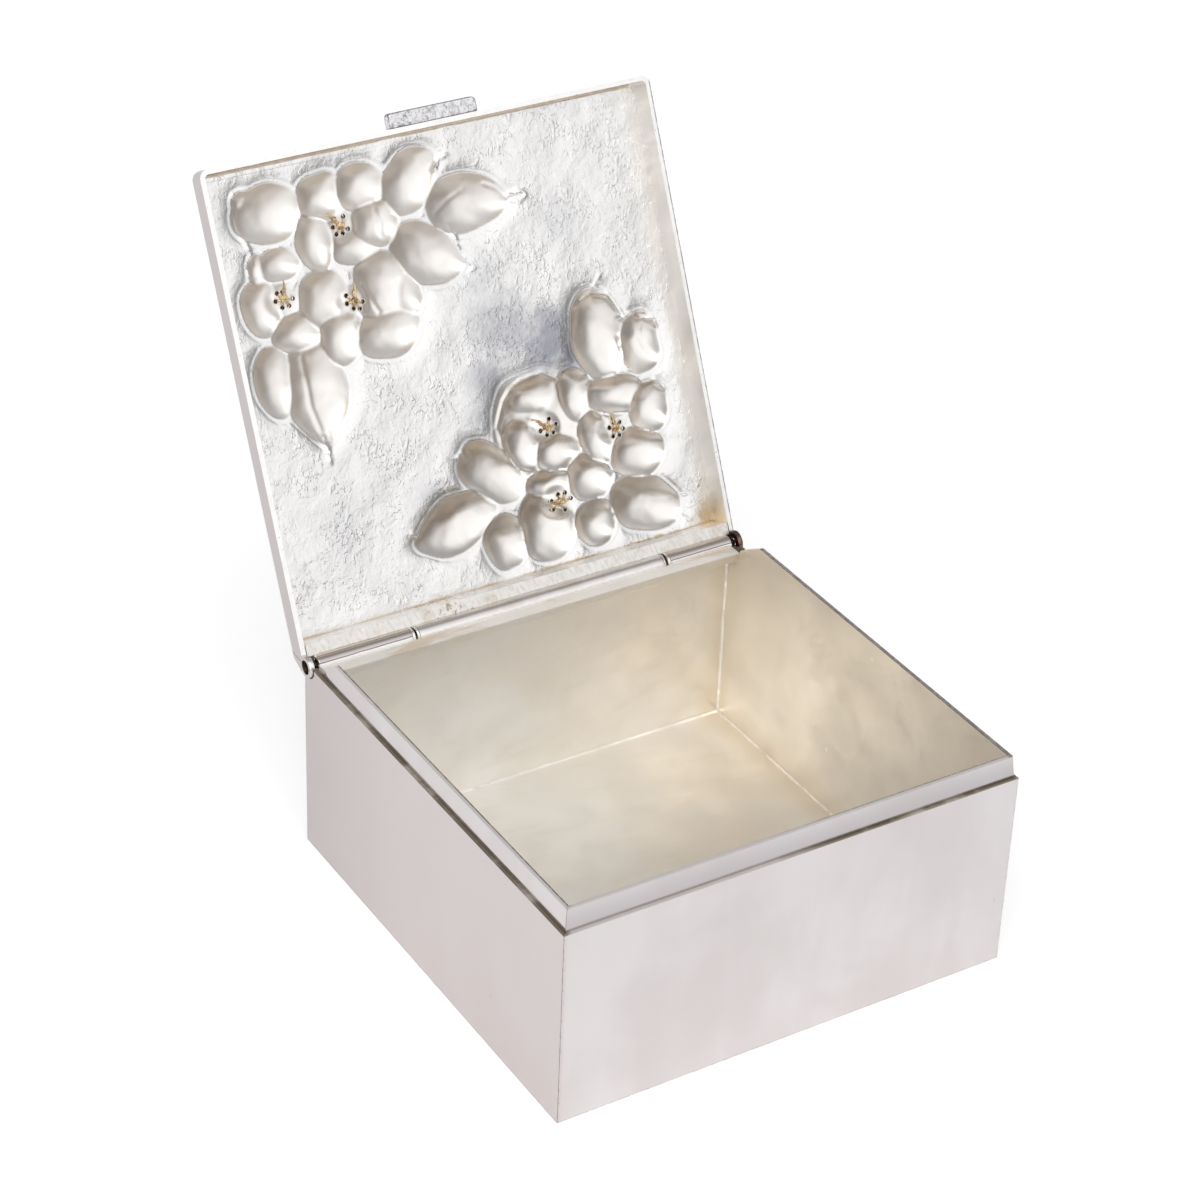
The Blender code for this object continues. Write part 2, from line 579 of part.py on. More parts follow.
def drawn_to_outline(x, y, bumps, pull):
    """Move a point of the sheet onto a bump's outline nearer than the pull, where that outline shows."""
    best = pull
    place = (x, y)
    for bump in bumps:
        if abs(bump_reach(bump, x, y) - 1) > OUTLINE_BAND:
            continue
        step_x, step_y = outline_step(bump, x, y)
        distance = math.hypot(step_x, step_y)
        if distance >= best:
            continue
        covered = max(bump_rise(other, x, y) for other in bumps if other is not bump)
        if covered < OUTLINE_NEIGHBOUR_RISE:
            best = distance
            place = (x + step_x, y + step_y)
            for _ in range(OUTLINE_STEP_COUNT):
                step_x, step_y = outline_step(bump, *place)
                place = (place[0] + step_x, place[1] + step_y)
    return place


def edge_fade(x, y):
    """Zero at the panel's border, one further in, so that the border stays flat."""
    margin = min(LID_INNER_X - abs(x), y - (LID_FRONT_Y + LID_SHEET), LID_BACK_Y - LID_SHEET - y)
    share = min(max(margin / BORDER_FADE, 0), 1)
    return share * share * (3 - 2 * share)


def relief_rise(x, y, bumps, eyes):
    """Height of the relief at a point of the panel."""
    rise = max(bump_rise(bump, x, y) for bump in bumps)
    for eye in eyes:
        distance = math.hypot(x - eye.x, y - eye.y)
        share = min(max((distance - EYE_RADIUS) / EYE_BLEND, 0), 1)
        if share < 1:
            rise = rise * share + EYE_RISE * (1 - share)
    return rise * edge_fade(x, y)


def relief_sheet(bumps, eyes):
    """A flat grid, finer where the relief lies, raised to the relief."""
    width = 2 * LID_OUTER_X
    depth = LID_BACK_Y - LID_FRONT_Y
    centre_y = (LID_BACK_Y + LID_FRONT_Y) / 2
    columns = round(width / RELIEF_CELL)
    rows = round(depth / RELIEF_CELL)
    bm = bmesh.new()
    place = Matrix.Translation((0, centre_y, PANEL_Z)) @ Matrix.Diagonal((width, depth, 1, 1))
    bmesh.ops.create_grid(bm, x_segments=columns, y_segments=rows, size=0.5, matrix=place)
    samples = [index / RELIEF_SAMPLE_COUNT for index in range(RELIEF_SAMPLE_COUNT + 1)]
    edges = set()
    for face in bm.faces:
        low_x = min(vert.co.x for vert in face.verts)
        high_x = max(vert.co.x for vert in face.verts)
        low_y = min(vert.co.y for vert in face.verts)
        high_y = max(vert.co.y for vert in face.verts)
        peak = max(relief_rise(low_x + (high_x - low_x) * a, low_y + (high_y - low_y) * b, bumps, eyes)
                   for a in samples for b in samples)
        if peak > 0:
            edges.update(face.edges)
    bmesh.ops.subdivide_edges(bm, edges=list(edges), cuts=RELIEF_CUT_COUNT, use_grid_fill=True)
    pull = RELIEF_CELL / (RELIEF_CUT_COUNT + 1) * OUTLINE_PULL_SHARE
    for vert in bm.verts:
        if not vert.is_boundary:
            vert.co.x, vert.co.y = drawn_to_outline(vert.co.x, vert.co.y, bumps, pull)
        vert.co.z += relief_rise(vert.co.x, vert.co.y, bumps, eyes)
    bmesh.ops.triangulate(bm, faces=bm.faces)
    return bm


def build_panel(silver, pivot):
    """The repousse top: one sheet, domed outwards, with rounded corners and stamen holes."""
    origin = Vector((0, AXIS_Y, AXIS_Z))
    bumps = placed_bumps()
    eyes = placed_eyes()
    bm = relief_sheet(bumps, eyes)
    extruded = bmesh.ops.extrude_face_region(bm, geom=bm.faces[:], use_keep_orig=True)
    raised = [item for item in extruded["geom"] if isinstance(item, bmesh.types.BMVert)]
    bmesh.ops.translate(bm, verts=raised, vec=(0, 0, PANEL_SHEET))
    panel = add_object("lid_panel", finish_mesh(bm, "lid_panel", origin), silver, pivot)

    radius = LID_CORNER_RADIUS
    back = LID_BACK_Y + CUTTER_REACH
    corner_x, corner_y = LID_OUTER_X - radius, LID_FRONT_Y + radius
    plan = [(-LID_OUTER_X, back), *arc((-corner_x, corner_y), radius, 180, 270, CORNER_STEPS),
            *arc((corner_x, corner_y), radius, 270, 360, CORNER_STEPS), (LID_OUTER_X, back)]
    bm = prism_bmesh(plan, "Z", PANEL_Z - CUTTER_REACH, PANEL_Z + 2 * CUTTER_REACH)
    guide = add_object("panel_plan_guide", finish_mesh(bm, "panel_plan_guide", origin), pivot=pivot)
    add_boolean(panel, guide, "INTERSECT")

    bm = bmesh.new()
    for eye in eyes:
        for angle in stamen_angles(eye):
            place = (eye.x + STAMEN_RING_RADIUS * math.cos(angle),
                     eye.y + STAMEN_RING_RADIUS * math.sin(angle), PANEL_Z)
            bmesh.ops.create_cone(bm, cap_ends=True, segments=HOLE_SIDES, radius1=STAMEN_HOLE_RADIUS,
                                  radius2=STAMEN_HOLE_RADIUS, depth=2 * CUTTER_REACH,
                                  matrix=Matrix.Translation(place))
    holes = add_object("stamen_hole_guide", finish_mesh(bm, "stamen_hole_guide", origin), pivot=pivot)
    add_boolean(panel, holes, "DIFFERENCE")


def stamen_angles(eye):
    """Directions of the wires from the middle of their blossom's eye."""
    return [eye.phase + 2 * math.pi * index / STAMEN_COUNT for index in range(STAMEN_COUNT)]


def stamen_route(eye, angle):
    """Points and radius scales of one wire, from the bead outside to the tail inside."""
    inner_z = PANEL_Z + EYE_RISE
    outer_z = inner_z + PANEL_SHEET
    ring = STAMEN_RING_RADIUS
    stations = (
        (ring + WIRE_SPLAY, outer_z + WIRE_RISE, WIRE_BEAD_SCALE),
        (ring + WIRE_SPLAY * 0.8, outer_z + WIRE_RISE - WIRE_BEAD_LENGTH, WIRE_BEAD_SCALE),
        (ring + WIRE_SPLAY * 0.7, outer_z + WIRE_RISE - WIRE_BEAD_LENGTH * 1.3, 1),
        (ring, outer_z, 1),
        (ring, inner_z - TAIL_DROP / 2, 1),
        (ring - TAIL_DROP / 2, inner_z - TAIL_DROP, 1),
        (TAIL_END_RADIUS, inner_z - TAIL_DROP, 1),
    )
    return [((eye.x + r * math.cos(angle), eye.y + r * math.sin(angle), z), scale)
            for r, z, scale in stations]


def build_stamens(brass, pivot):
    """One node for each wire of each blossom."""
    origin = Vector((0, AXIS_Y, AXIS_Z))
    for blossom, eye in enumerate(placed_eyes(), start=1):
        for wire, angle in enumerate(stamen_angles(eye), start=1):
            name = f"stamen_{blossom}_{wire}"
            curve = bpy.data.curves.new(name, "CURVE")
            curve.dimensions = "3D"
            curve.bevel_depth = WIRE_RADIUS
            curve.bevel_resolution = 0
            curve.use_fill_caps = True
            route = stamen_route(eye, angle)
            spline = curve.splines.new("POLY")
            spline.points.add(len(route) - 1)
            for point, (place, scale) in zip(spline.points, route):
                point.co = (*(Vector(place) - origin), 1)
                point.radius = scale
            add_object(name, curve, brass, pivot)


def build_lid(silver, satin, brass):
    """The lid's pieces round their pivot, which is then turned to the open stop."""
    pivot = add_object("lid_pivot", None)
    pivot.location = (0, AXIS_Y, AXIS_Z)
    build_panel(silver, pivot)
    build_rim(silver, pivot)
    build_lid_back(silver, satin, pivot)
    build_tab(silver, pivot)
    build_stamens(brass, pivot)
    pivot.rotation_euler = (-math.radians(OPEN_ANGLE_DEG), 0, 0)


def main():
    """Build the box and the open lid."""
    clear_scene()
    silver = make_material("polished_silver_plate", (0.78, 0.75, 0.74), 0.12)
    satin = make_material("satin_silver_plate", (0.74, 0.70, 0.62), 0.38)
    brass = make_material("brass_wire", (0.62, 0.40, 0.16), 0.32)
    steel = make_material("pin_wire", (0.42, 0.40, 0.38), 0.35)
    build_bottom(satin)
    build_case(silver)
    build_liner(satin)
    build_body_hinge(silver, satin, steel)
    build_lid(silver, satin, brass)


if __name__ == "__main__":
    main()
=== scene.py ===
"""Visual model of a silver-plated keepsake box, standing open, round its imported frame.

Lid pieces are built as if the lid were shut and are then turned to the angle at
which it rests. Sizes are metres, x runs along the hinge and -y is the front.
"""
import functools
import json
import logging
import math
from dataclasses import dataclass, field
from enum import Enum
from typing import ClassVar, Iterable, Sequence

import bmesh
import bpy
import numpy as np
from mathutils import Matrix, Vector, noise


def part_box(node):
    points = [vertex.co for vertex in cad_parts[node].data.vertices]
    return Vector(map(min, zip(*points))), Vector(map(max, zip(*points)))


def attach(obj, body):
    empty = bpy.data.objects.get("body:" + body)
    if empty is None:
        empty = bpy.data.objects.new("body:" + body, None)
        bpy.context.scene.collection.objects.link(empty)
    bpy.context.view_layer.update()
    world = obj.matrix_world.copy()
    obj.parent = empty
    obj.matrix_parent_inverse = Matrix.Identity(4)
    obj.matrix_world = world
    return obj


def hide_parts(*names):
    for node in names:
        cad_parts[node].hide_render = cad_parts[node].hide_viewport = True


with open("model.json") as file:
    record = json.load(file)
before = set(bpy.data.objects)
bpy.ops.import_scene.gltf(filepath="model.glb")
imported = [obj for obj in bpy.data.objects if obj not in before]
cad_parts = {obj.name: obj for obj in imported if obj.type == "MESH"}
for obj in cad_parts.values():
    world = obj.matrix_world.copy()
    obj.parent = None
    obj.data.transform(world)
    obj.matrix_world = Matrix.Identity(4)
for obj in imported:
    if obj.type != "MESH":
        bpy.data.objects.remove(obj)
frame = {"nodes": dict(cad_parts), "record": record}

log = logging.getLogger("keepsake_box")
Colour = tuple[float, float, float]
Point = tuple[float, float]
MM = 0.001
STEP = 0.004
NEAR = 1e-6
FINE_EDGE = 0.00012
GROOVE_RADIUS = 0.00214
LOBE_RADIUS = 0.0026
CUTTER_REACH = 0.07
FADE = 0.012
MARKS = ("relief", "lean", "halo", "inside")


class Body(Enum):
    """The two bodies that the hinge joins."""

    BOX = "box"
    LID = "lid"


class Slot(Enum):
    """Finishes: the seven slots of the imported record, then four that only the looks have."""

    POLISHED = "polished_plate"
    SATIN = "satin_plate"
    EMBOSSED = "embossed_plate"
    TUBE = "hinge_tube"
    TAB = "tab_plate"
    WIRE = "stamen_wire"
    PIN = "pin_wire"
    EDGE = "worn_edge"
    FILLET = "tan_fillet"
    FILED = "filed_plate"
    EAR = "tarnished_ear"


@dataclass(frozen=True)
class LidSpace:
    """Turns places of the shut lid to places of the lid at rest, and back."""

    pivot: Vector
    angle: float

    @classmethod
    def from_frame(cls, record: dict) -> "LidSpace":
        """Read the hinge axis and the angle from shut to rest.

        Args:
            record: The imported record.

        Returns:
            The space of the shut lid.
        """
        joint = record["behaviour"]["joints"][0]
        return cls(Vector(joint["pos_m"]), math.radians(joint["range_deg"][1]))

    def axle(self) -> Matrix:
        """Matrix that lays the z axis along the hinge."""
        return Matrix.Translation((0, self.pivot.y, self.pivot.z)) @ Matrix.Rotation(math.pi / 2, 4, "Y")

    def matrix(self) -> Matrix:
        """Matrix from the shut lid to the lid at rest."""
        turn = Matrix.Rotation(-self.angle, 4, "X")
        return Matrix.Translation(self.pivot) @ turn @ Matrix.Translation(-self.pivot)

    def shut_box(self, node: str) -> tuple[Vector, Vector]:
        """Corners of a lid node's box, measured with the lid shut.

        Args:
            node: Name of a node on the lid.

        Returns:
            The lowest and the highest corner.
        """
        back = self.matrix().inverted()
        places = np.array([back @ vert.co for vert in frame["nodes"][node].data.vertices])
        return Vector(places.min(axis=0)), Vector(places.max(axis=0))


LID_SPACE = LidSpace.from_frame(frame["record"])


class Value:
    """A number in a node graph that takes part in sums as a plain number does."""

    def __init__(self, sheet: "Sheet", socket: bpy.types.NodeSocket) -> None:
        """Keep the socket that gives the number and the graph that it is in.

        Args:
            sheet: The graph.
            socket: The output socket.
        """
        self.sheet = sheet
        self.socket = socket

    def __add__(self, other: object) -> "Value":
        """Sum."""
        return self.sheet.math("ADD", self, other)

    def __radd__(self, other: float) -> "Value":
        """Sum with the plain number first."""
        return self.sheet.math("ADD", other, self)

    def __sub__(self, other: object) -> "Value":
        """Difference."""
        return self.sheet.math("SUBTRACT", self, other)

    def __rsub__(self, other: float) -> "Value":
        """Difference with the plain number first."""
        return self.sheet.math("SUBTRACT", other, self)

    def __mul__(self, other: object) -> "Value":
        """Product."""
        return self.sheet.math("MULTIPLY", self, other)

    def __truediv__(self, other: object) -> "Value":
        """Quotient."""
        return self.sheet.math("DIVIDE", self, other)

    def __abs__(self) -> "Value":
        """Size without sign."""
        return self.sheet.math("ABSOLUTE", self)

    def below(self, limit: float) -> "Value":
        """One below the limit and nought elsewhere."""
        return self.sheet.math("LESS_THAN", self, limit)

    def above(self, limit: float) -> "Value":
        """One above the limit and nought elsewhere."""
        return self.sheet.math("GREATER_THAN", self, limit)

    def span(self, low: float, high: float, to_low: float = 0.0, to_high: float = 1.0) -> "Value":
        """Map a range softly to another, clamped.

        Args:
            low: Start of the range.
            high: End of the range.
            to_low: Result at its start and before it.
            to_high: Result at its end and beyond it.

        Returns:
            The mapped value.
        """
        node = self.sheet.add("ShaderNodeMapRange", interpolation_type="SMOOTHSTEP")
        for key, number in (("From Min", low), ("From Max", high), ("To Min", to_low), ("To Max", to_high)):
            node.inputs[key].default_value = number
        self.sheet.put(node.inputs["Value"], self)
        return Value(self.sheet, node.outputs["Result"])


@dataclass(frozen=True)
class Place:
    """The three coordinates of a place in a node graph."""

    x: Value
    y: Value
    z: Value


class Sheet:
    """A node graph that is written line by line for one finish."""

    def __init__(self, name: str) -> None:
        """Start a material with one Principled shader.

        Args:
            name: Name of the material.
        """
        self.material = bpy.data.materials.new(name)
        self.material.use_nodes = True
        self.tree = self.material.node_tree
        self.shader = self.tree.nodes["Principled BSDF"]
        self.coords = self.add("ShaderNodeTexCoord").outputs["Object"]

    @classmethod
    def of_tree(cls, tree: bpy.types.NodeTree) -> "Sheet":
        """Write into a tree that is there already.

        Args:
            tree: The tree.

        Returns:
            Its writer.
        """
        sheet = cls.__new__(cls)
        sheet.tree = tree
        return sheet

    def add(self, kind: str, **settings: object) -> bpy.types.Node:
        """Add a node.

        Args:
            kind: Its type.
            settings: Its properties.

        Returns:
            The node.
        """
        node = self.tree.nodes.new(kind)
        for key, value in settings.items():
            setattr(node, key, value)
        return node

    def put(self, socket: bpy.types.NodeSocket, value: object) -> None:
        """Link a socket or set a plain value.

        Args:
            socket: The input socket.
            value: A Value, an output socket, a colour or a plain value.
        """
        if isinstance(value, Value):
            value = value.socket
        if isinstance(value, bpy.types.NodeSocket):
            self.tree.links.new(value, socket)
        elif isinstance(value, tuple) and len(value) == 3 and socket.type == "RGBA":
            socket.default_value = (*value, 1.0)
        else:
            socket.default_value = value

    def set(self, name: str, value: object) -> None:
        """Feed one input of the Principled shader."""
        self.put(self.shader.inputs[name], value)

    def math(self, operation: str, first: object, second: object = 0.0, clamp: bool = False) -> Value:
        """Combine numbers with a Math node.

        Args:
            operation: The node's operation.
            first: First number.
            second: Second number.
            clamp: Whether the result stays between nought and one.

        Returns:
            The result.
        """
        node = self.add("ShaderNodeMath", operation=operation, use_clamp=clamp)
        self.put(node.inputs[0], first)
        self.put(node.inputs[1], second)
        return Value(self, node.outputs[0])

    def most(self, first: object, *others: object) -> Value:
        """The largest of several numbers."""
        return functools.reduce(lambda one, other: self.math("MAXIMUM", one, other), others, first)

    def least(self, first: object, *others: object) -> Value:
        """The smallest of several numbers."""
        return functools.reduce(lambda one, other: self.math("MINIMUM", one, other), others, first)

    def attribute(self, name: str) -> Value:
        """A number that the mesh carries."""
        return Value(self, self.add("ShaderNodeAttribute", attribute_name=name).outputs["Fac"])

    def rays(self, kind: str) -> Value:
        """One for rays of one kind and nought for others."""
        return Value(self, self.add("ShaderNodeLightPath").outputs[kind])

    def mapped(self, scale: tuple[float, float, float], turn: tuple[float, float, float] = (0.0, 0.0, 0.0),
               source: bpy.types.NodeSocket | None = None) -> bpy.types.NodeSocket:
        """Turn, then stretch coordinates.

        Args:
            scale: Factors along the turned axes.
            turn: Angles in radians.
            source: The coordinates; the object's own where it is left out.

        Returns:
            The new coordinates.
        """
        turned = self.add("ShaderNodeMapping")
        turned.inputs["Rotation"].default_value = turn
        self.put(turned.inputs["Vector"], source or self.coords)
        node = self.add("ShaderNodeMapping")
        node.inputs["Scale"].default_value = scale
        self.put(node.inputs["Vector"], turned.outputs[0])
        return node.outputs[0]

    def noise(self, size: float, detail: float = 2.0, roughness: float = 0.5, distortion: float = 0.0,
              vector: bpy.types.NodeSocket | None = None) -> Value:
        """Noise whose features are about size metres.

        Args:
            size: Size of the features.
            detail: Number of finer layers.
            roughness: Strength of the finer layers.
            distortion: How far the features are bent.
            vector: The coordinates; the object's own where it is left out.

        Returns:
            The noise, from nought to one.
        """
        node = self.add("ShaderNodeTexNoise")
        for key, number in (("Scale", 1.0 / size), ("Detail", detail), ("Roughness", roughness),
                            ("Distortion", distortion)):
            node.inputs[key].default_value = number
        self.put(node.inputs["Vector"], vector or self.coords)
        return Value(self, node.outputs["Fac"])

    def cells(self, size: float, vector: bpy.types.NodeSocket | None = None) -> Value:
        """Distance to the nearest of points that are about size metres apart.

        Args:
            size: Distance between the points.
            vector: The coordinates; the object's own where it is left out.

        Returns:
            The distance, one where it is as large as size.
        """
        node = self.add("ShaderNodeTexVoronoi")
        node.inputs["Scale"].default_value = 1.0 / size
        self.put(node.inputs["Vector"], vector or self.coords)
        return Value(self, node.outputs["Distance"])

    def mix(self, share: object, first: object, second: object) -> bpy.types.NodeSocket:
        """Mix two colours.

        Args:
            share: Share of the second colour.
            first: A colour or its socket.
            second: A colour or its socket.

        Returns:
            The mixed colour.
        """
        node = self.add("ShaderNodeMix", data_type="RGBA")
        self.put(node.inputs["Factor"], share)
        self.put(node.inputs[6], first)
        self.put(node.inputs[7], second)
        return node.outputs[2]

    def axis(self, source: bpy.types.NodeSocket | None = None) -> Place:
        """Split coordinates.

        Args:
            source: The coordinates; the object's own where it is left out.

        Returns:
            Their three parts.
        """
        node = self.add("ShaderNodeSeparateXYZ")
        self.put(node.inputs[0], source or self.coords)
        return Place(*(Value(self, output) for output in node.outputs))

    def bump(self, height: object, distance: float, strength: float = 1.0,
             normal: bpy.types.NodeSocket | None = None) -> bpy.types.NodeSocket:
        """Turn a height from nought to one into a normal.

        Args:
            height: The height.
            distance: Depth in metres.
            strength: Share of the effect.
            normal: The normal that it is laid on.

        Returns:
            The new normal.
        """
        node = self.add("ShaderNodeBump")
        node.inputs["Strength"].default_value = strength
        node.inputs["Distance"].default_value = distance
        self.put(node.inputs["Height"], height)
        if normal is not None:
            self.put(node.inputs["Normal"], normal)
        return node.outputs[0]


@dataclass(frozen=True)
class Finish:
    """A finish that writes its own material."""

    def build(self, name: str) -> bpy.types.Material:
        """Write the material.

        Args:
            name: Name of the material.

        Returns:
            The material.
        """
        sheet = Sheet(name)
        self.write(sheet)
        return sheet.material

    def write(self, sheet: Sheet) -> None:
        """Write the nodes of the finish."""
        raise NotImplementedError


@dataclass(frozen=True)
class PolishedPlate(Finish):
    """Bright outer plate: faint pink cast, soft waves, fine scratches and dark soiling at its joints; painted
    shade makes the left sheet rosier and darker, more so towards the back, and darkens the upstand's front
    face.
    """

    bright: Colour = (0.765, 0.73, 0.735)
    dull: Colour = (0.695, 0.65, 0.65)
    rosy: Colour = (0.675, 0.61, 0.60)
    dark_tone: Colour = (0.13, 0.10, 0.07)
    olive: Colour = (0.62, 0.54, 0.42)
    pale: Colour = (0.74, 0.70, 0.69)
    ledge_z: float = 0.0495
    top_z: float = 0.0550
    half: float = 0.0575
    inner_x: float = 0.0562
    inner_y: float = 0.0557
    foot_x: float = 0.0567
    foot_y: float = 0.0562
    upstand_front_shade: Colour = (0.53, 0.50, 0.51)
    left_back_shade: Colour = (0.52, 0.47, 0.47)
    left_from: float = -0.0576
    left_to: float = -0.0560
    dark_from: float = -0.012
    dark_to: float = 0.014
    slack: float = 0.0001
    metal: float = 0.00085

    def write(self, sheet: Sheet) -> None:
        """Write the nodes of the finish.

        Args:
            sheet: The graph.
        """
        place = sheet.axis()
        far_x = abs(place.x)
        far_y = abs(place.y)
        cloud = sheet.noise(0.034, 3.0, 0.55, 0.4)
        streak = sheet.noise(0.012, 3.0, 0.6, vector=sheet.mapped((1.0, 1.0, 0.25)))
        blend = cloud * 0.6 + streak * 0.4
        colour = sheet.mix(blend.span(0.36, 0.64), self.dull, self.bright)
        on_left = place.x.span(self.left_from, self.left_to, 1.0, 0.0)
        # Painted shade: the left sheet is painted rosier and darker than the others.
        colour = sheet.mix(place.x.span(self.left_from, self.left_to, 0.75, 0.0), colour, self.rosy)
        under_top = place.z.below(self.top_z + self.slack)
        upstand = place.z.above(self.ledge_z + 0.00003) * under_top
        # Painted shade: the upstand's front face above the ledge is painted darker.
        facing_front = upstand * place.y.span(-self.foot_y, -self.inner_y + 0.0003, 0.85, 0.0)
        colour = sheet.mix(facing_front, colour, self.upstand_front_shade)
        # Painted shade: the left sheet grows darker towards the back.
        colour = sheet.mix(on_left * place.y.span(0.0, 0.055, 0.0, 0.45), colour, self.left_back_shade)

        dark_side = sheet.most(place.x.span(-0.0572, -0.055, 1.0, 0.12),
                               place.x.span(self.dark_from, self.dark_to, 0.12, 1.0))
        dark_side = dark_side * sheet.noise(0.012, 4.0, 0.65).span(0.35, 0.55, 0.35, 1.0)
        in_plane = abs(place.z - self.ledge_z).span(0.00004, 0.00013, 1.0, 0.0)
        across = sheet.most(far_x - self.foot_x, far_y - self.foot_y)
        contact = across.span(0.00006, 0.00022, 1.0, 0.0)
        lip = across.span(0.0006, 0.00074, 0.0, 0.8)
        line = in_plane * sheet.most(contact, lip) * dark_side
        foot_line = (place.z.span(self.ledge_z, self.ledge_z + 0.00022, 0.8, 0.0)
                     * (place.z.above(self.ledge_z - 0.00002) * dark_side))
        on_top = place.z.span(self.top_z - 0.00012, self.top_z - 0.00004) * under_top
        level = sheet.most(in_plane, on_top)
        colour = sheet.mix(level, colour, sheet.mix(dark_side * in_plane, self.pale, self.olive))

        specks = sheet.noise(0.0007, 2.0, 0.6)
        inside_edge = sheet.most(far_x - (self.inner_x - self.metal), far_y - (self.inner_y - self.metal))
        flecked = specks.span(0.35, 0.6, 0.6, 1.0)
        top_line = place.z.span(self.top_z - 0.00022, self.top_z - 0.00008) * under_top
        top_side = sheet.most(far_x.span(0.0544, 0.055), place.x.span(self.dark_from, self.dark_to))
        top_line = top_line * inside_edge.span(0.0, 0.0003, 1.0, 0.0) * (top_side * flecked)
        near_corner = abs(far_x - self.half) + abs(far_y - (self.half - 0.0005))
        seam = near_corner.span(0.0002, 0.0007, 0.25, 0.0) * specks.span(0.5, 0.66)
        foot = place.z.span(0.0001, 0.0006, 0.3, 0.0) * specks.span(0.4, 0.62)
        right_top = on_top * place.x.span(0.0549, 0.0551, 0.0, 0.75) * flecked
        pits = sheet.cells(0.011).span(0.012, 0.022, 1.0, 0.0) * 0.45
        dark_marks = sheet.most(line, seam, foot, foot_line, top_line, right_top, pits)
        sheet.set("Base Color", sheet.mix(dark_marks, colour, self.dark_tone))
        sheet.set("Metallic", 1.0 - level * 0.75)
        rough = sheet.noise(0.018, 4.0, 0.6).span(0.3, 0.7, 0.13, 0.24)
        sheet.set("Roughness", rough + sheet.most(dark_marks, level) * 0.35)
        waves = sheet.bump(sheet.noise(0.020, 1.0, 0.4), 0.00030, 0.6)
        fine = sheet.noise(0.0016, 3.0, 0.6, vector=sheet.mapped((1.0, 1.0, 0.25), (0.5, 0.3, 0.0)))
        sheet.set("Normal", sheet.bump(fine, 0.000012, 0.5, waves))


@dataclass(frozen=True)
class SatinPlate(Finish):
    """Satin inner plate, warm, with brushed wisps, pale solder specks and pale ragged seams, and a painted
    warm shade towards the right.
    """

    bright: Colour = (0.985, 0.97, 0.945)
    dull: Colour = (0.96, 0.925, 0.865)
    amber: Colour = (0.86, 0.78, 0.66)
    solder: Colour = (1.0, 0.97, 0.92)
    blotch: Colour = (0.42, 0.30, 0.18)
    half_x: float = 0.0552
    half_y: float = 0.0547
    floor_z: float = 0.0010
    bearer_y: float = 0.0480
    bearer_z: float = 0.0495
    lid_tint: Colour = (0.93, 0.90, 0.86)
    smear_tint: Colour = (0.72, 0.52, 0.30)

    def write(self, sheet: Sheet) -> None:
        """Write the nodes of the finish.

        Args:
            sheet: The graph.
        """
        place = sheet.axis()
        cloud = sheet.noise(0.028, 4.0, 0.6, 0.6)
        wisps = sheet.noise(0.0036, 4.0, 0.7, 0.15, sheet.mapped((0.10, 1.0, 0.8), (0.0, 0.12, 0.16)))
        colour = sheet.mix(cloud.span(0.35, 0.68), self.dull, self.bright)
        off_right = place.x.span(0.054, 0.055, 1.0, 0.1)
        colour = sheet.mix(wisps.span(0.5, 0.7, 0.0, 0.55) * off_right, colour, self.solder)
        colour = sheet.mix(wisps.span(0.3, 0.46, 0.2, 0.0) * off_right, colour, self.amber)
        # Painted shade: amber towards the right side.
        right_warm_shade = place.x.span(0.047, 0.0552, 0.0, 0.7)
        colour = sheet.mix(right_warm_shade, colour, self.amber)
        on_lid = place.z.span(0.0575, 0.064, 0.0, 0.8)
        colour = sheet.mix(on_lid, colour, self.lid_tint)
        on_bearer = place.y.above(self.bearer_y) * abs(place.z - self.bearer_z).below(0.0004)
        on_bearer = on_bearer * abs(place.x).below(0.05515)
        colour = sheet.mix(on_bearer, colour, self.solder)
        gap_x = abs(abs(place.x) - self.half_x)
        gap_y = abs(abs(place.y) - self.half_y)
        gap_z = abs(place.z - self.floor_z)
        upright = gap_x + gap_y
        low = gap_z + sheet.least(gap_x, gap_y)
        ragged = sheet.noise(0.0016, 4.0, 0.7) * -0.0016
        faint = sheet.noise(0.013, 2.0, 0.5).span(0.4, 0.6, 0.1, 0.75)
        seam = sheet.most((upright + ragged).span(-0.0005, 0.0003, 0.55, 0.0),
                          faint * (low + ragged).span(-0.0006, 0.0, 0.7, 0.0))
        colour = sheet.mix(seam, colour, self.solder)
        crack = (upright + ragged * 0.6).span(-0.00055, -0.0004, 0.5, 0.0)
        specks = sheet.cells(0.0062).span(0.05, 0.11, 1.0, 0.0) * sheet.noise(0.02, 2.0, 0.5).span(0.44, 0.56)
        colour = sheet.mix(specks * 0.9, colour, self.solder)
        pits = sheet.cells(0.017, sheet.mapped((1.0, 1.0, 1.0), (0.4, 0.9, 0.2))).span(0.01, 0.018, 0.8, 0.0)
        dark_marks = sheet.most(crack, pits)
        streaks = sheet.noise(0.006, 4.0, 0.7, 0.3, sheet.mapped((0.25, 1.0, 1.0)))
        colour = sheet.mix(on_bearer * streaks.span(0.5, 0.64, 0.0, 0.5), colour, self.smear_tint)
        sheet.set("Base Color", sheet.mix(dark_marks, colour, self.blotch))
        sheet.set("Metallic", 1.0 - on_bearer * 0.6)
        rough = sheet.noise(0.012, 3.0, 0.6).span(0.3, 0.7, 0.34, 0.46)
        sheet.set("Roughness", rough + seam * 0.15)
        waves = sheet.bump(sheet.noise(0.016, 2.0, 0.5), 0.00035, 0.3)
        solder = sheet.bump(seam * sheet.noise(0.0012, 2.0, 0.6), 0.00018, 0.8, waves)
        sheet.set("Normal", sheet.bump(sheet.noise(0.0009, 3.0, 0.65), 0.00003, 0.6, solder))


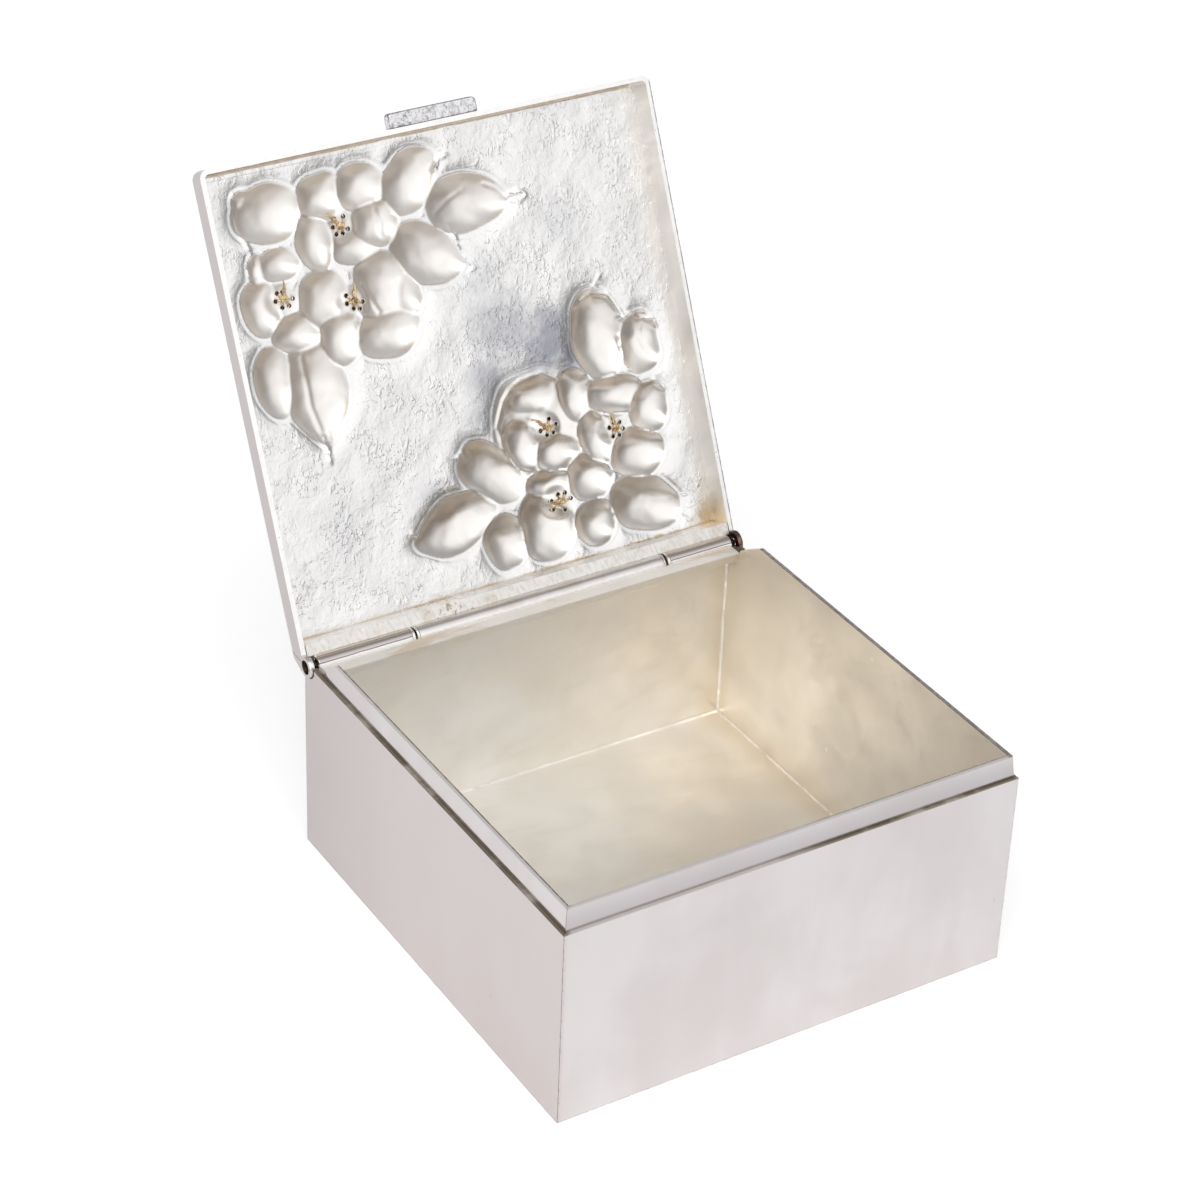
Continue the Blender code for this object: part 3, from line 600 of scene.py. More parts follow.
@dataclass(frozen=True)
class FiledPlate(Finish):
    """The bar's face: cream, with slanting file strokes, brown stains and golden edges."""

    bright: Colour = (0.97, 0.955, 0.93)
    shade: Colour = (0.80, 0.76, 0.71)
    gold: Colour = (0.55, 0.40, 0.22)
    blotch: Colour = (0.36, 0.20, 0.09)
    stained_from: float = -0.028
    stained_to: float = -0.009

    def write(self, sheet: Sheet) -> None:
        """Write the nodes of the finish.

        Args:
            sheet: The graph.
        """
        place = sheet.axis()
        strokes = sheet.noise(0.0005, 2.0, 0.5, 0.1, sheet.mapped((1.0, 0.22, 0.22), (0.0, 0.75, 0.55)))
        colour = sheet.mix(strokes.span(0.45, 0.68, 0.0, 0.7), self.bright, self.shade)
        length = sheet.noise(0.01, 3.0, 0.6).span(0.42, 0.62)
        colour = sheet.mix(length * 0.12, colour, self.shade)
        middle = (place.x.span(self.stained_from, self.stained_from + 0.006)
                  * place.x.span(self.stained_to - 0.008, self.stained_to, 1.0, 0.0))
        spots = sheet.noise(0.0015, 3.0, 0.65).span(0.52, 0.66) * middle
        colour = sheet.mix(spots * 0.75, colour, self.blotch)
        rust = sheet.noise(0.004, 3.0, 0.6).span(0.54, 0.7) * 0.25
        sheet.set("Base Color", sheet.mix(rust, colour, self.gold))
        sheet.set("Metallic", 0.7)
        sheet.set("Roughness", 0.34)
        dents = sheet.bump(sheet.noise(0.0050, 2.0, 0.5), 0.00020, 0.7)
        sheet.set("Normal", sheet.bump(strokes, 0.00009, 1.0, dents))


@dataclass(frozen=True)
class WornEdgeAndReflection(Finish):
    """Bare bright edge of the rim with a few dark nicks, and a painted dark reflection along its right side.
    """

    bright: Colour = (0.99, 0.985, 0.98)
    nick_and_reflection: Colour = (0.12, 0.09, 0.07)
    line_x: float = 0.05785

    def write(self, sheet: Sheet) -> None:
        """Write the nodes of the finish.

        Args:
            sheet: The graph.
        """
        nicks = sheet.noise(0.0007, 2.0, 0.6).span(0.66, 0.74) * sheet.noise(0.012, 2.0, 0.5).span(0.5, 0.6)
        place = sheet.axis()
        # Painted reflection: a ragged dark line along the right edge.
        right_dark_reflection = (place.x.span(self.line_x, self.line_x + 0.0001, 0.0, 0.75)
                      * sheet.noise(0.002, 3.0, 0.6).span(0.35, 0.6, 0.5, 1.0))
        sheet.set("Base Color", sheet.mix(sheet.most(nicks, right_dark_reflection), self.bright, self.nick_and_reflection))
        sheet.set("Metallic", 1.0)
        sheet.set("Roughness", sheet.noise(0.004, 3.0, 0.6).span(0.3, 0.7, 0.18, 0.3))
        sheet.set("Normal", sheet.bump(sheet.noise(0.0016, 3.0, 0.6), 0.00004, 0.8))


@dataclass(frozen=True)
class Blot:
    """A soft patch on the lid's plan, of gilt or of blue-grey tarnished metal and painted dark reflection:
    centre, reach along x and y, and strength.
    """

    x: float
    y: float
    reach_x: float
    reach_y: float
    share: float


@dataclass(frozen=True)
class EmbossedPlate(Finish):
    """Lid sheet: ticked, hammered ground with a blue-grey veil, partly tarnished metal and partly painted
    dark reflection, and smooth petals with painted shade: tan where they lean, dark grey on the lower right.
    """

    ground: Colour = (0.93, 0.92, 0.915)
    veil: Colour = (0.85, 0.845, 0.845)
    tarnish_and_reflection: Colour = (0.40, 0.41, 0.46)
    petal: Colour = (0.90, 0.87, 0.84)
    # Tan and slate are the petals' painted shade and painted dark reflection.
    tan: Colour = (0.68, 0.60, 0.52)
    slate: Colour = (0.38, 0.38, 0.40)
    gold: Colour = (0.52, 0.36, 0.17)
    fleck: Colour = (0.45, 0.44, 0.46)
    scribe_x: float = 0.0547
    scribe_y: float = 0.0545
    foot_y: float = 0.0507
    smoothest: float = 0.26
    gilt_corner: Blot = Blot(55.5, 48.5, 4, 5, 0.75)
    # Blue-grey patches, partly tarnished metal and partly painted dark reflection.
    blots: tuple[Blot, ...] = (
        Blot(22, -2, 10, 11, 1.0), Blot(12, -6, 13, 12, 0.65), Blot(27, 3, 5, 8, 0.9), Blot(4, 4, 7, 9, 0.65),
        Blot(30, -30, 9, 11, 0.15), Blot(-38, 30, 9, 12, 0.15), Blot(1, 12, 6, 6, 0.45),
        Blot(-14, 27, 9, 6, 0.25), Blot(-3, 18, 6, 5, 0.3), Blot(8, -20, 7, 6, 0.3),
    )

    def _blot(self, sheet: Sheet, place: Place, blot: Blot, ragged: Value) -> Value:
        """Share of one blot, with a ragged edge.

        Args:
            sheet: The graph.
            place: Place on the lid's plan.
            blot: The blot.
            ragged: How far its edge is shifted.

        Returns:
            The share.
        """
        side = (place.x - blot.x * MM) / (blot.reach_x * MM)
        rise = (place.y - blot.y * MM) / (blot.reach_y * MM)
        away = sheet.math("SQRT", side * side + rise * rise)
        return (away + ragged).span(0.15, 1.15, blot.share, 0.0)

    def write(self, sheet: Sheet) -> None:
        """Write the nodes of the finish.

        Args:
            sheet: The graph.
        """
        plan = sheet.add("ShaderNodeUVMap", uv_map="lid_plan").outputs[0]
        relief, lean, halo, inside = (sheet.attribute(name) for name in MARKS)
        place = sheet.axis(plan)
        on_petal = relief.span(0.45, 0.95)
        cloud = sheet.noise(0.022, 4.0, 0.6, 0.5, plan)
        ground = sheet.mix(cloud.span(0.4, 0.72), self.ground, self.veil)
        ragged = (sheet.noise(0.007, 5.0, 0.7, 0.0, plan) - 0.5) * 1.3
        blotch = sheet.most(*(self._blot(sheet, place, blot, ragged) for blot in self.blots))
        blotch = blotch * (0.3 + inside * 0.7)
        clusters = sheet.noise(0.009, 3.0, 0.6, 0.0, plan).span(0.44, 0.6)
        one_way = sheet.mapped((1.0, 0.8, 1.0), (0.0, 0.0, 0.25), plan)
        other_way = sheet.mapped((1.0, 0.5, 1.0), (0.0, 0.0, -0.35), plan)
        ticks = sheet.most(sheet.noise(0.0009, 2.0, 0.5, 0.8, one_way).span(0.48, 0.74),
                           sheet.noise(0.0016, 1.0, 0.5, 0.2, other_way).span(0.52, 0.8))
        ticks = (0.25 + clusters * 0.75) * ticks
        flecks = ticks * (0.03 + blotch * 0.22)
        # Blue-grey patches, partly tarnished metal and partly painted dark reflection.
        ground = sheet.mix(blotch, ground, self.tarnish_and_reflection)
        ground = sheet.mix(flecks, ground, self.fleck)
        # Painted shade: petal walls are painted tan by the way they lean, a little less on the upper left.
        painted_lean_shade = sheet.most(lean.span(-0.1, 0.36, 0.0, 0.95), lean.span(-0.75, -0.4, 0.65, 0.0))
        diagonal = place.x + place.y
        # Painted reflection: on the lower-right spray, dark grey takes the place of tan in patches.
        dark_reflection_noise = sheet.noise(0.008, 2.0, 0.5, 0.3, plan).span(0.45, 0.66, 0.0, 0.6)
        painted_dark_reflection = diagonal.span(0.008, 0.035) * dark_reflection_noise
        painted_lean_shade = painted_lean_shade * diagonal.span(-0.02, 0.02, 0.72, 1.0)
        tint = sheet.mix(painted_lean_shade, self.petal, sheet.mix(painted_dark_reflection, self.tan, self.slate))
        colour = sheet.mix(on_petal, ground, tint)
        along = abs(place.y + self.scribe_y).span(0.0, 0.0002, 0.4, 0.0) * place.x.span(-0.04, 0.0, 1.0, 0.0)
        scribed = sheet.most(abs(place.x + self.scribe_x).span(0.0, 0.0002, 0.4, 0.0), along)
        colour = sheet.mix(scribed * inside, colour, self.tarnish_and_reflection)
        gilt = inside * self._blot(sheet, place, self.gilt_corner, ragged)
        colour = sheet.mix(gilt, colour, self.gold)
        edge = self.foot_y - place.y + (sheet.noise(0.003, 3.0, 0.6, 0.0, plan) - 0.5) * 0.0012
        rust = sheet.noise(0.012, 2.0, 0.5, 0.0, plan).span(0.35, 0.6, 0.35, 1.0)
        colour = sheet.mix(inside * (edge.span(0.0002, 0.0009, 0.9, 0.0) * rust), colour, self.gold)
        sheet.set("Base Color", colour)
        sheet.set("Metallic", 1.0)
        mirror = diagonal.span(-0.005, 0.03, 0.42, 0.3)
        sheet.set("Roughness", self.smoothest + on_petal * (mirror - self.smoothest))
        flat = halo.span(0.25, 0.95, 1.0, 0.0) * (0.15 + inside * 0.85)
        dents = sheet.noise(0.0036, 2.0, 0.5, 0.4, plan)
        first = sheet.bump(dents * sheet.most(flat, 0.4), 0.00017, 1.0)
        second = sheet.bump(ticks * flat, 0.00008, 1.0, first)
        grain = sheet.noise(0.0007, 2.0, 0.6, 0.0, plan)
        sheet.set("Normal", sheet.bump(grain * sheet.most(flat, 0.2), 0.00003, 0.6, second))


@dataclass(frozen=True)
class TubePlate(Finish):
    """Hinge tube: pale, faintly worn, a few pits, and a bright ring with a dark line at each split, the line
    at the split being painted shade; bands round the axis are painted reflections: tan and lilac above a dark
    line, a white highlight below it, and tan lowest.
    """

    bright: Colour = (0.90, 0.87, 0.86)
    worn: Colour = (0.76, 0.69, 0.62)
    dark_tone: Colour = (0.08, 0.055, 0.04)
    ring: Colour = (0.98, 0.95, 0.90)
    # Colours and the angle of the painted reflection bands.
    lilac: Colour = (0.58, 0.53, 0.53)
    tan: Colour = (0.72, 0.63, 0.54)
    glint: Colour = (1.0, 0.99, 0.98)
    dark_line_turn: float = 0.67
    splits: tuple[float, ...] = ()
    axis_y: float = 0.0554
    axis_z: float = 0.0491

    def write(self, sheet: Sheet) -> None:
        """Write the nodes of the finish.

        Args:
            sheet: The graph.
        """
        place = sheet.axis()
        colour = sheet.mix(sheet.noise(0.009, 3.0, 0.6).span(0.42, 0.72, 0.0, 0.7), self.bright, self.worn)
        near = sheet.least(*(abs(place.x - split) for split in self.splits))
        middle = place.x.above(self.splits[0]) * place.x.below(self.splits[-1])
        # Painted reflections: the colour follows the angle round the hinge axis.
        turn = sheet.math("ARCTAN2", place.z - self.axis_z, self.axis_y - place.y)
        turn = turn + sheet.noise(0.004, 3.0, 0.6) * 0.16
        # Painted reflection: lilac on the upper part, turning tan higher up.
        upper = turn.span(0.62, 0.8) * (1.0 - middle * 0.65)
        colour = sheet.mix(upper * 0.9, colour, sheet.mix(turn.span(1.05, 1.45), self.lilac, self.tan))
        # Painted highlight: a white band below the dark line; the Metallic set further down is lowered there
        # so that it shows whiter.
        band = turn.span(-0.05, 0.05) * turn.span(0.52, 0.62, 1.0, 0.0)
        colour = sheet.mix(band, colour, self.glint)
        # Painted reflection: tan on the lowest part.
        colour = sheet.mix(turn.span(-0.28, -0.05, 0.75, 0.0), colour, self.tan)
        # Painted reflection: a thin dark line between the upper part and the highlight.
        painted_dark_line = abs(turn - self.dark_line_turn).span(0.02, 0.1, 0.8, 0.0) * (1.0 - middle)
        colour = sheet.mix(painted_dark_line, colour, self.dark_tone)
        near = near - sheet.noise(0.0011, 2.0, 0.6) * 0.0003
        colour = sheet.mix(near.span(0.0006, 0.0009, 1.0, 0.0), colour, self.ring)
        # Painted shade: dark right at each split, in the gap between the tubes; a second dark line lies just
        # past the bright ring, and the pits are small dark spots.
        dark = sheet.most(near.span(0.00005, 0.00018, 0.9, 0.0),
                          near.above(0.0007) * near.span(0.0008, 0.001, 0.6, 0.0))
        pits = sheet.cells(0.0065).span(0.03, 0.06, 1.0, 0.0) * 0.8
        dark_marks = sheet.most(dark, pits)
        sheet.set("Base Color", sheet.mix(dark_marks, colour, self.dark_tone))
        sheet.set("Metallic", 1.0 - band * place.x.span(self.splits[0] - 0.0001, self.splits[0], 0.75, 0.35))
        sheet.set("Roughness", middle * 0.12 + (0.14 + dark_marks * 0.4))
        lines = sheet.noise(0.0006, 3.0, 0.6, vector=sheet.mapped((0.12, 1.0, 1.0)))
        sheet.set("Normal", sheet.bump(lines, 0.00002, 0.5))


@dataclass(frozen=True)
class TabPlate(Finish):
    """Thumb tab: fine speckle, small dents and dark edges."""

    bright: Colour = (0.82, 0.81, 0.83)
    speck: Colour = (0.18, 0.18, 0.23)

    def write(self, sheet: Sheet) -> None:
        """Write the nodes of the finish.

        Args:
            sheet: The graph.
        """
        specks = sheet.noise(0.001, 4.0, 0.75).span(0.48, 0.66, 0.0, 0.75)
        sheet.set("Base Color", sheet.mix(specks, self.bright, self.speck))
        sheet.set("Metallic", 1.0)
        sheet.set("Roughness", 0.25)
        dents = sheet.bump(sheet.noise(0.0022, 2.0, 0.5), 0.00040, 0.9)
        sheet.set("Normal", sheet.bump(sheet.noise(0.0006, 3.0, 0.7), 0.00005, 0.8, dents))


@dataclass(frozen=True)
class Wire(Finish):
    """Drawn wire with a dull skin; the same plain finish serves the fillet, and gives the painted shade of
    the rim's dark ear and of the hole walls and bores.
    """

    bright: Colour
    dark: Colour
    roughness: float

    def write(self, sheet: Sheet) -> None:
        """Write the nodes of the finish.

        Args:
            sheet: The graph.
        """
        cloud = sheet.noise(0.0012, 3.0, 0.6)
        sheet.set("Base Color", sheet.mix(cloud.span(0.35, 0.7), self.bright, self.dark))
        sheet.set("Metallic", 1.0)
        sheet.set("Roughness", self.roughness)
        sheet.set("Normal", sheet.bump(sheet.noise(0.0004, 2.0, 0.6), 0.00002, 0.6))


@dataclass(frozen=True)
class Petal:
    """One hollow of the relief in millimetres: centre, half sizes, turn in degrees and depth."""

    x: float
    y: float
    length: float
    width: float
    turn: float = 0.0
    depth: float = 2.6
    taper: float = 0.0
    power: float = 2.3


@dataclass(frozen=True)
class Stroke:
    """A chased line in millimetres; a negative rise stands up towards the inside of the lid."""

    points: tuple[Point, ...]
    rise: float
    width: float = 0.4


@dataclass(frozen=True)
class Eye:
    """The flat middle of a blossom, its wire holes and the place where its wires gather."""

    x: float
    y: float
    holes: tuple[Point, ...]
    bundle: Point


UPPER_LEFT_PETALS = (
    Petal(-41.7, -44.8, 7.4, 5.9, 0, 2.5, power=2.5), Petal(-46.6, -48.6, 2.6, 2.4, 0, 1.4),
    Petal(-27.8, -46.0, 5.4, 5.0), Petal(-17.5, -46.2, 5.5, 5.0), Petal(-15.6, -37.7, 5.7, 4.8, 10),
    Petal(-22.0, -33.4, 5.5, 3.9, 10, 1.7), Petal(-31.3, -36.3, 3.9, 5.9),
    Petal(-5.2, -45.2, 8.0, 5.8, -35, 2.5, 0.25), Petal(8.4, -37.6, 9.8, 6.1, 3, 2.7, 0.4),
    Petal(-4.2, -28.0, 8.9, 6.0, 33, 2.6, 0.35),
    Petal(-41.0, -33.2, 4.4, 3.5, 0, 1.9), Petal(-46.4, -33.2, 2.1, 2.9, 0, 1.2),
    Petal(-47.5, -24.4, 4.0, 6.1, 0, 2.4), Petal(-40.1, -17.4, 5.5, 4.1, 5, 2.4),
    Petal(-31.8, -23.2, 5.6, 6.4, 0, 2.8), Petal(-29.4, -14.4, 5.2, 6.0, 10, 2.6),
    Petal(-16.6, -22.6, 6.7, 7.9, 0, 2.9), Petal(-17.8, -12.8, 7.4, 5.4, -8, 2.8),
    Petal(-11.4, -20.2, 3.4, 5.2, 0, 1.9),
    Petal(-47.7, -7.5, 4.4, 7.3, 0, 2.4), Petal(-38.0, -3.2, 11.0, 6.9, 91, 2.8, 0.42),
)
LOWER_RIGHT_PETALS = (
    Petal(15.2, 16.4, 10.6, 11.2, 0, 1.7), Petal(15.3, 10.4, 6.3, 4.7, 0, 3.0),
    Petal(26.6, 12.4, 4.4, 5.9, -8, 2.7), Petal(10.6, 20.6, 4.9, 6.6, 0, 3.1),
    Petal(19.0, 24.1, 5.7, 4.4, 0, 2.7),
    Petal(36.6, 14.4, 7.3, 4.3, 5, 2.8), Petal(45.3, 19.4, 5.1, 5.4, 0, 2.6),
    Petal(40.3, 29.4, 6.6, 5.4, 10, 2.9), Petal(30.0, 23.3, 4.3, 6.4, 0, 2.6),
    Petal(15.0, 31.2, 5.3, 3.6, 0, 2.2), Petal(26.2, 32.0, 5.6, 5.0, 20, 2.6),
    Petal(12.8, 40.4, 6.9, 7.7, 0, 3.0), Petal(25.3, 43.1, 4.9, 5.1, 0, 2.5),
    Petal(35.6, -0.6, 6.6, 10.0, 0, 3.1), Petal(46.2, 4.0, 4.9, 6.8, 0, 2.6),
    Petal(1.5, 25.0, 9.0, 5.7, 40, 2.8, 0.1), Petal(-10.4, 34.6, 10.4, 5.9, 166, 2.7, 0.3),
    Petal(1.3, 41.7, 5.1, 6.2, 0, 2.5), Petal(39.6, 41.8, 9.0, 6.1, 25, 2.7, 0.25),
)
STROKES = (
    Stroke(((-48.6, -50.6), (-48.8, -43.0), (-47.6, -38.0), (-47.3, -34.5)), -0.35, 0.45),
    Stroke(((1.5, -46.6), (3.0, -48.6), (5.2, -49.4)), -0.45, 0.45),
    Stroke(((0.5, -43.0), (1.4, -45.2), (2.4, -47.6)), -0.35, 0.4),
    Stroke(((18.2, -36.8), (21.2, -37.4), (23.0, -37.2), (23.2, -36.0), (21.6, -35.4), (19.6, -35.6)),
           -0.45, 0.4),
    Stroke(((14.0, -40.8), (16.6, -39.2), (18.4, -36.9)), -0.35, 0.4),
    Stroke(((3.0, -33.0), (4.0, -26.0), (6.2, -23.6), (6.8, -22.4), (5.4, -22.0)), -0.4, 0.42),
    Stroke(((0.0, -36.4), (4.0, -38.6), (9.0, -40.6)), -0.16, 0.5),
    Stroke(((-38.6, 7.0), (-38.8, 10.4), (-38.8, 12.8)), -0.5, 0.45),
    Stroke(((-40.6, 6.4), (-39.4, 8.6), (-38.8, 10.6)), -0.3, 0.4),
    Stroke(((-36.8, 6.4), (-37.6, 8.6), (-38.6, 10.6)), -0.3, 0.4),
    Stroke(((-39.8, -11.5), (-39.2, -6.0), (-39.4, 0.0), (-38.6, 5.5)), -0.3, 0.6),
    Stroke(((-21.2, -24.8), (-19.6, -21.0), (-18.2, -17.6)), -0.45, 0.5),
    Stroke(((-14.4, -40.6), (-13.4, -37.0), (-14.0, -34.4)), -0.3, 0.5),
    Stroke(((-24.6, -12.6), (-24.2, -15.4), (-24.0, -18.4)), -0.35, 0.45),
    Stroke(((12.2, 27.6), (9.0, 26.4), (6.0, 21.2), (4.6, 15.0), (8.0, 9.0), (13.0, 5.6), (19.0, 5.0),
            (22.6, 7.4)), -0.4, 0.5),
    Stroke(((31.6, -8.0), (36.0, -10.4), (40.0, -9.0), (42.4, -4.4), (42.8, -2.6)), -0.4, 0.45),
    Stroke(((42.0, -2.6), (45.0, -3.4), (47.2, -1.6), (50.6, -1.2), (51.4, 1.0)), -0.5, 0.4),
    Stroke(((41.6, 1.4), (41.2, 5.0), (41.8, 9.2)), -0.4, 0.5),
    Stroke(((48.2, -0.4), (47.6, 3.0), (48.6, 7.0)), -0.25, 0.5),
    Stroke(((36.8, -11.6), (37.6, -12.6), (38.6, -14.0)), -0.3, 0.5),
    Stroke(((-20.4, 35.0), (-21.6, 34.2), (-22.4, 33.8)), -0.4, 0.45),
    Stroke(((-7.4, 19.4), (-5.4, 18.6), (-4.4, 20.2)), -0.4, 0.45),
    Stroke(((47.6, 46.4), (49.4, 48.0), (50.6, 48.6)), -0.4, 0.45),
    Stroke(((45.8, 14.0), (48.4, 13.6), (50.2, 16.0)), -0.35, 0.45),
    Stroke(((31.4, 30.0), (32.8, 33.0), (32.0, 35.6)), -0.35, 0.45),
    Stroke(((33.6, 20.4), (31.6, 17.8), (30.8, 16.6)), -0.25, 0.45),
)
EYES = (
    Eye(-24.0, -38.6, ((-25.3, -40.5), (-23.0, -40.6), (-26.0, -38.7), (-22.4, -37.6), (-25.5, -37.0),
         (-23.9, -36.9)),
         (-27.0, -42.2)),
    Eye(-41.4, -25.6, ((-42.8, -27.1), (-41.4, -27.2), (-43.5, -25.4), (-42.2, -23.7), (-40.5, -23.8),
         (-39.3, -25.2)),
         (-40.6, -29.6)),
    Eye(-24.4, -21.2, ((-26.2, -23.0), (-26.4, -21.2), (-24.7, -21.6), (-25.0, -19.8), (-23.5, -19.4),
         (-22.4, -20.8)),
         (-23.6, -25.6)),
    Eye(17.8, 18.0, ((18.6, 16.2), (20.2, 17.8), (15.8, 18.5), (17.5, 18.0), (17.3, 19.8), (19.1, 19.6)),
        (13.9, 15.0)),
    Eye(35.8, 22.4, ((37.0, 21.3), (37.6, 23.0), (34.0, 22.0), (34.6, 24.2), (36.3, 24.3), (35.4, 21.0)),
        (34.9, 18.8)),
    Eye(17.4, 36.0, ((17.1, 34.2), (19.0, 34.2), (15.1, 35.4), (20.2, 35.8), (15.2, 37.5), (18.2, 38.1)),
        (13.3, 35.6)),
)


class Relief:
    """Height of the embossed sheet over its flat ground, outwards positive, in millimetres."""

    GROWTH = 1.09
    EDGE_POWER = 0.82
    SOFTNESS = 0.08
    LIP_RISE = 0.15
    LIP_WIDTH = 0.32
    SKIRT_RISE = 0.55
    SKIRT_REACH = 2.4
    EYE_RADIUS = 2.2
    EYE_RISE = 1.0
    BORDER = 3.0
    BLEND = 0.35
    FAR = 1e3

    def __init__(self, petals: Sequence[Petal], strokes: Sequence[Stroke], eyes: Sequence[Eye],
                 low: Point, high: Point) -> None:
        """Keep the parts of the relief and the border that stays flat.

        Args:
            petals: The hollows.
            strokes: The chased lines.
            eyes: The blossoms' middles.
            low: Lowest corner of the flat border, in millimetres.
            high: Highest corner of the flat border, in millimetres.
        """
        self.petals = petals
        self.strokes = strokes
        self.eyes = eyes
        self.low = low
        self.high = high

    def _reach(self, petal: Petal, x: np.ndarray, y: np.ndarray) -> tuple[np.ndarray, np.ndarray]:
        """Share of the way to a petal's outline, and the distance beyond it.

        Args:
            petal: The petal.
            x: Millimetres to the right.
            y: Millimetres towards the hinge.

        Returns:
            The share and the distance in millimetres.
        """
        turn = math.radians(petal.turn)
        x, y = (x + 0.30 * np.sin(x / 3.9 + y / 2.6) + 0.10 * np.sin(y / 1.3 - x / 2.3 + 1.0),
                y + 0.30 * np.sin(y / 3.7 - x / 2.9 + 2.0) + 0.10 * np.sin(x / 1.4 + y / 2.6))
        dx, dy = x - petal.x, y - petal.y
        along = (dx * math.cos(turn) + dy * math.sin(turn)) / (petal.length * self.GROWTH)
        across = (dy * math.cos(turn) - dx * math.sin(turn)) / (petal.width * self.GROWTH)
        across = across / (1 - petal.taper * np.clip(along, 0, 1.2) ** 2)
        reach = (np.abs(along) ** petal.power + np.abs(across) ** petal.power) ** (1 / petal.power)
        away = (reach - 1) * np.hypot(dx, dy) / np.maximum(reach, 0.05)
        return reach, away

    def _stroke(self, stroke: Stroke, x: np.ndarray, y: np.ndarray) -> np.ndarray:
        """Rise of one chased line.

        Args:
            stroke: The line.
            x: Millimetres to the right.
            y: Millimetres towards the hinge.

        Returns:
            The rise in millimetres.
        """
        nearest = np.full(x.shape, self.FAR)
        for (ax, ay), (bx, by) in zip(stroke.points, stroke.points[1:]):
            span = (bx - ax) ** 2 + (by - ay) ** 2
            share = np.clip(((x - ax) * (bx - ax) + (y - ay) * (by - ay)) / span, 0, 1)
            nearest = np.minimum(nearest, np.hypot(x - ax - share * (bx - ax), y - ay - share * (by - ay)))
        return stroke.rise * np.exp(-(nearest / stroke.width) ** 2)

    def halo(self, x: np.ndarray, y: np.ndarray) -> np.ndarray:
        """One on the petals, falling softly to nought 3 mm beyond them.

        Args:
            x: Millimetres to the right.
            y: Millimetres towards the hinge.

        Returns:
            The share.
        """
        outside = np.full(x.shape, self.FAR)
        for petal in self.petals:
            outside = np.minimum(outside, self._reach(petal, x, y)[1])
        return eased(np.clip(1 - outside / self.BORDER, 0, 1))

    def near(self, x: np.ndarray, y: np.ndarray, margin: float) -> np.ndarray:
        """Whether points lie on the relief or within a margin of it.

        Args:
            x: Millimetres to the right.
            y: Millimetres towards the hinge.
            margin: The margin in millimetres.

        Returns:
            True for each point that does.
        """
        found = np.zeros(x.shape, bool)
        for petal in self.petals:
            found |= self._reach(petal, x, y)[1] < margin
        for stroke in self.strokes:
            found |= self._stroke(stroke, x, y) * math.copysign(1, stroke.rise) > 0.01
        return found

    def height(self, x: np.ndarray, y: np.ndarray) -> np.ndarray:
        """Height at points of the lid's plan.

        Args:
            x: Millimetres to the right.
            y: Millimetres towards the hinge.

        Returns:
            The height in millimetres.
        """
        first = np.zeros(x.shape)
        second = np.zeros(x.shape)
        outside = np.full(x.shape, self.FAR)
        lips = np.zeros(x.shape)
        for petal in self.petals:
            reach, away = self._reach(petal, x, y)
            share = 1 - reach ** 2
            share = (share + np.sqrt(share ** 2 + self.SOFTNESS ** 2)) / 2
            rise = petal.depth * share ** self.EDGE_POWER
            rise = np.where(away > 1.5, 0, rise * np.clip((1.5 - away) / 1.2, 0, 1))
            second = np.maximum(second, np.minimum(first, rise))
            first = np.maximum(first, rise)
            outside = np.minimum(outside, away)
            lips = np.maximum(lips, np.exp(-((away - 0.25) / self.LIP_WIDTH) ** 2))
        joint = np.clip(1 - (first - second) / self.BLEND, 0, 1) ** 2 * np.clip(second / self.BLEND, 0, 1)
        rise = first + joint * self.BLEND / 4
        rise -= self.LIP_RISE * lips * np.clip(1 - rise / 1.6, 0, 1)
        rise += self.SKIRT_RISE * np.exp(-(np.maximum(outside, 0) / self.SKIRT_REACH) ** 2)
        for stroke in self.strokes:
            rise += self._stroke(stroke, x, y)
        for eye in self.eyes:
            share = eased(np.clip((np.hypot(x - eye.x, y - eye.y) / self.EYE_RADIUS - 0.75) / 1.35, 0, 1))
            rise = rise * share + self.EYE_RISE * (1 - share)
        margin = np.minimum(np.minimum(x - self.low[0], self.high[0] - x),
                            np.minimum(y - self.low[1], self.high[1] - y))
        return rise * eased(np.clip(margin / self.BORDER, 0, 1))


def clamp(value: float) -> float:
    """The value, kept between nought and one."""
    return min(max(value, 0), 1)


def eased(share: np.ndarray) -> np.ndarray:
    """A share from nought to one with a soft start and end."""
    return share * share * (3 - 2 * share)


def bmesh_box(low: Vector, high: Vector) -> bmesh.types.BMesh:
    """A box between two corners.

    Args:
        low: Lowest corner.
        high: Highest corner.

    Returns:
        The mesh.
    """
    bm = bmesh.new()
    matrix = Matrix.Translation((high + low) / 2) @ Matrix.Diagonal((*(high - low), 1.0))
    bmesh.ops.create_cube(bm, size=1.0, matrix=matrix)
    return bm


def bmesh_prism(points: Iterable[Point], axis: str, low: float, high: float) -> bmesh.types.BMesh:
    """Extrude an outline.

    Args:
        points: (y, z) points for axis X, or (x, y) points for axis Z.
        axis: The axis that it is extruded along.
        low: Start on that axis.
        high: End on that axis.

    Returns:
        The mesh.
    """
    bm = bmesh.new()
    if axis == "X":
        corners = [bm.verts.new((low, a, b)) for a, b in points]
        step = Vector((high - low, 0, 0))
    else:
        corners = [bm.verts.new((a, b, low)) for a, b in points]
        step = Vector((0, 0, high - low))
    extruded = bmesh.ops.extrude_face_region(bm, geom=[bm.faces.new(corners)])
    moved = [item for item in extruded["geom"] if isinstance(item, bmesh.types.BMVert)]
    bmesh.ops.translate(bm, verts=moved, vec=step)
    bmesh.ops.recalc_face_normals(bm, faces=bm.faces)
    return bm


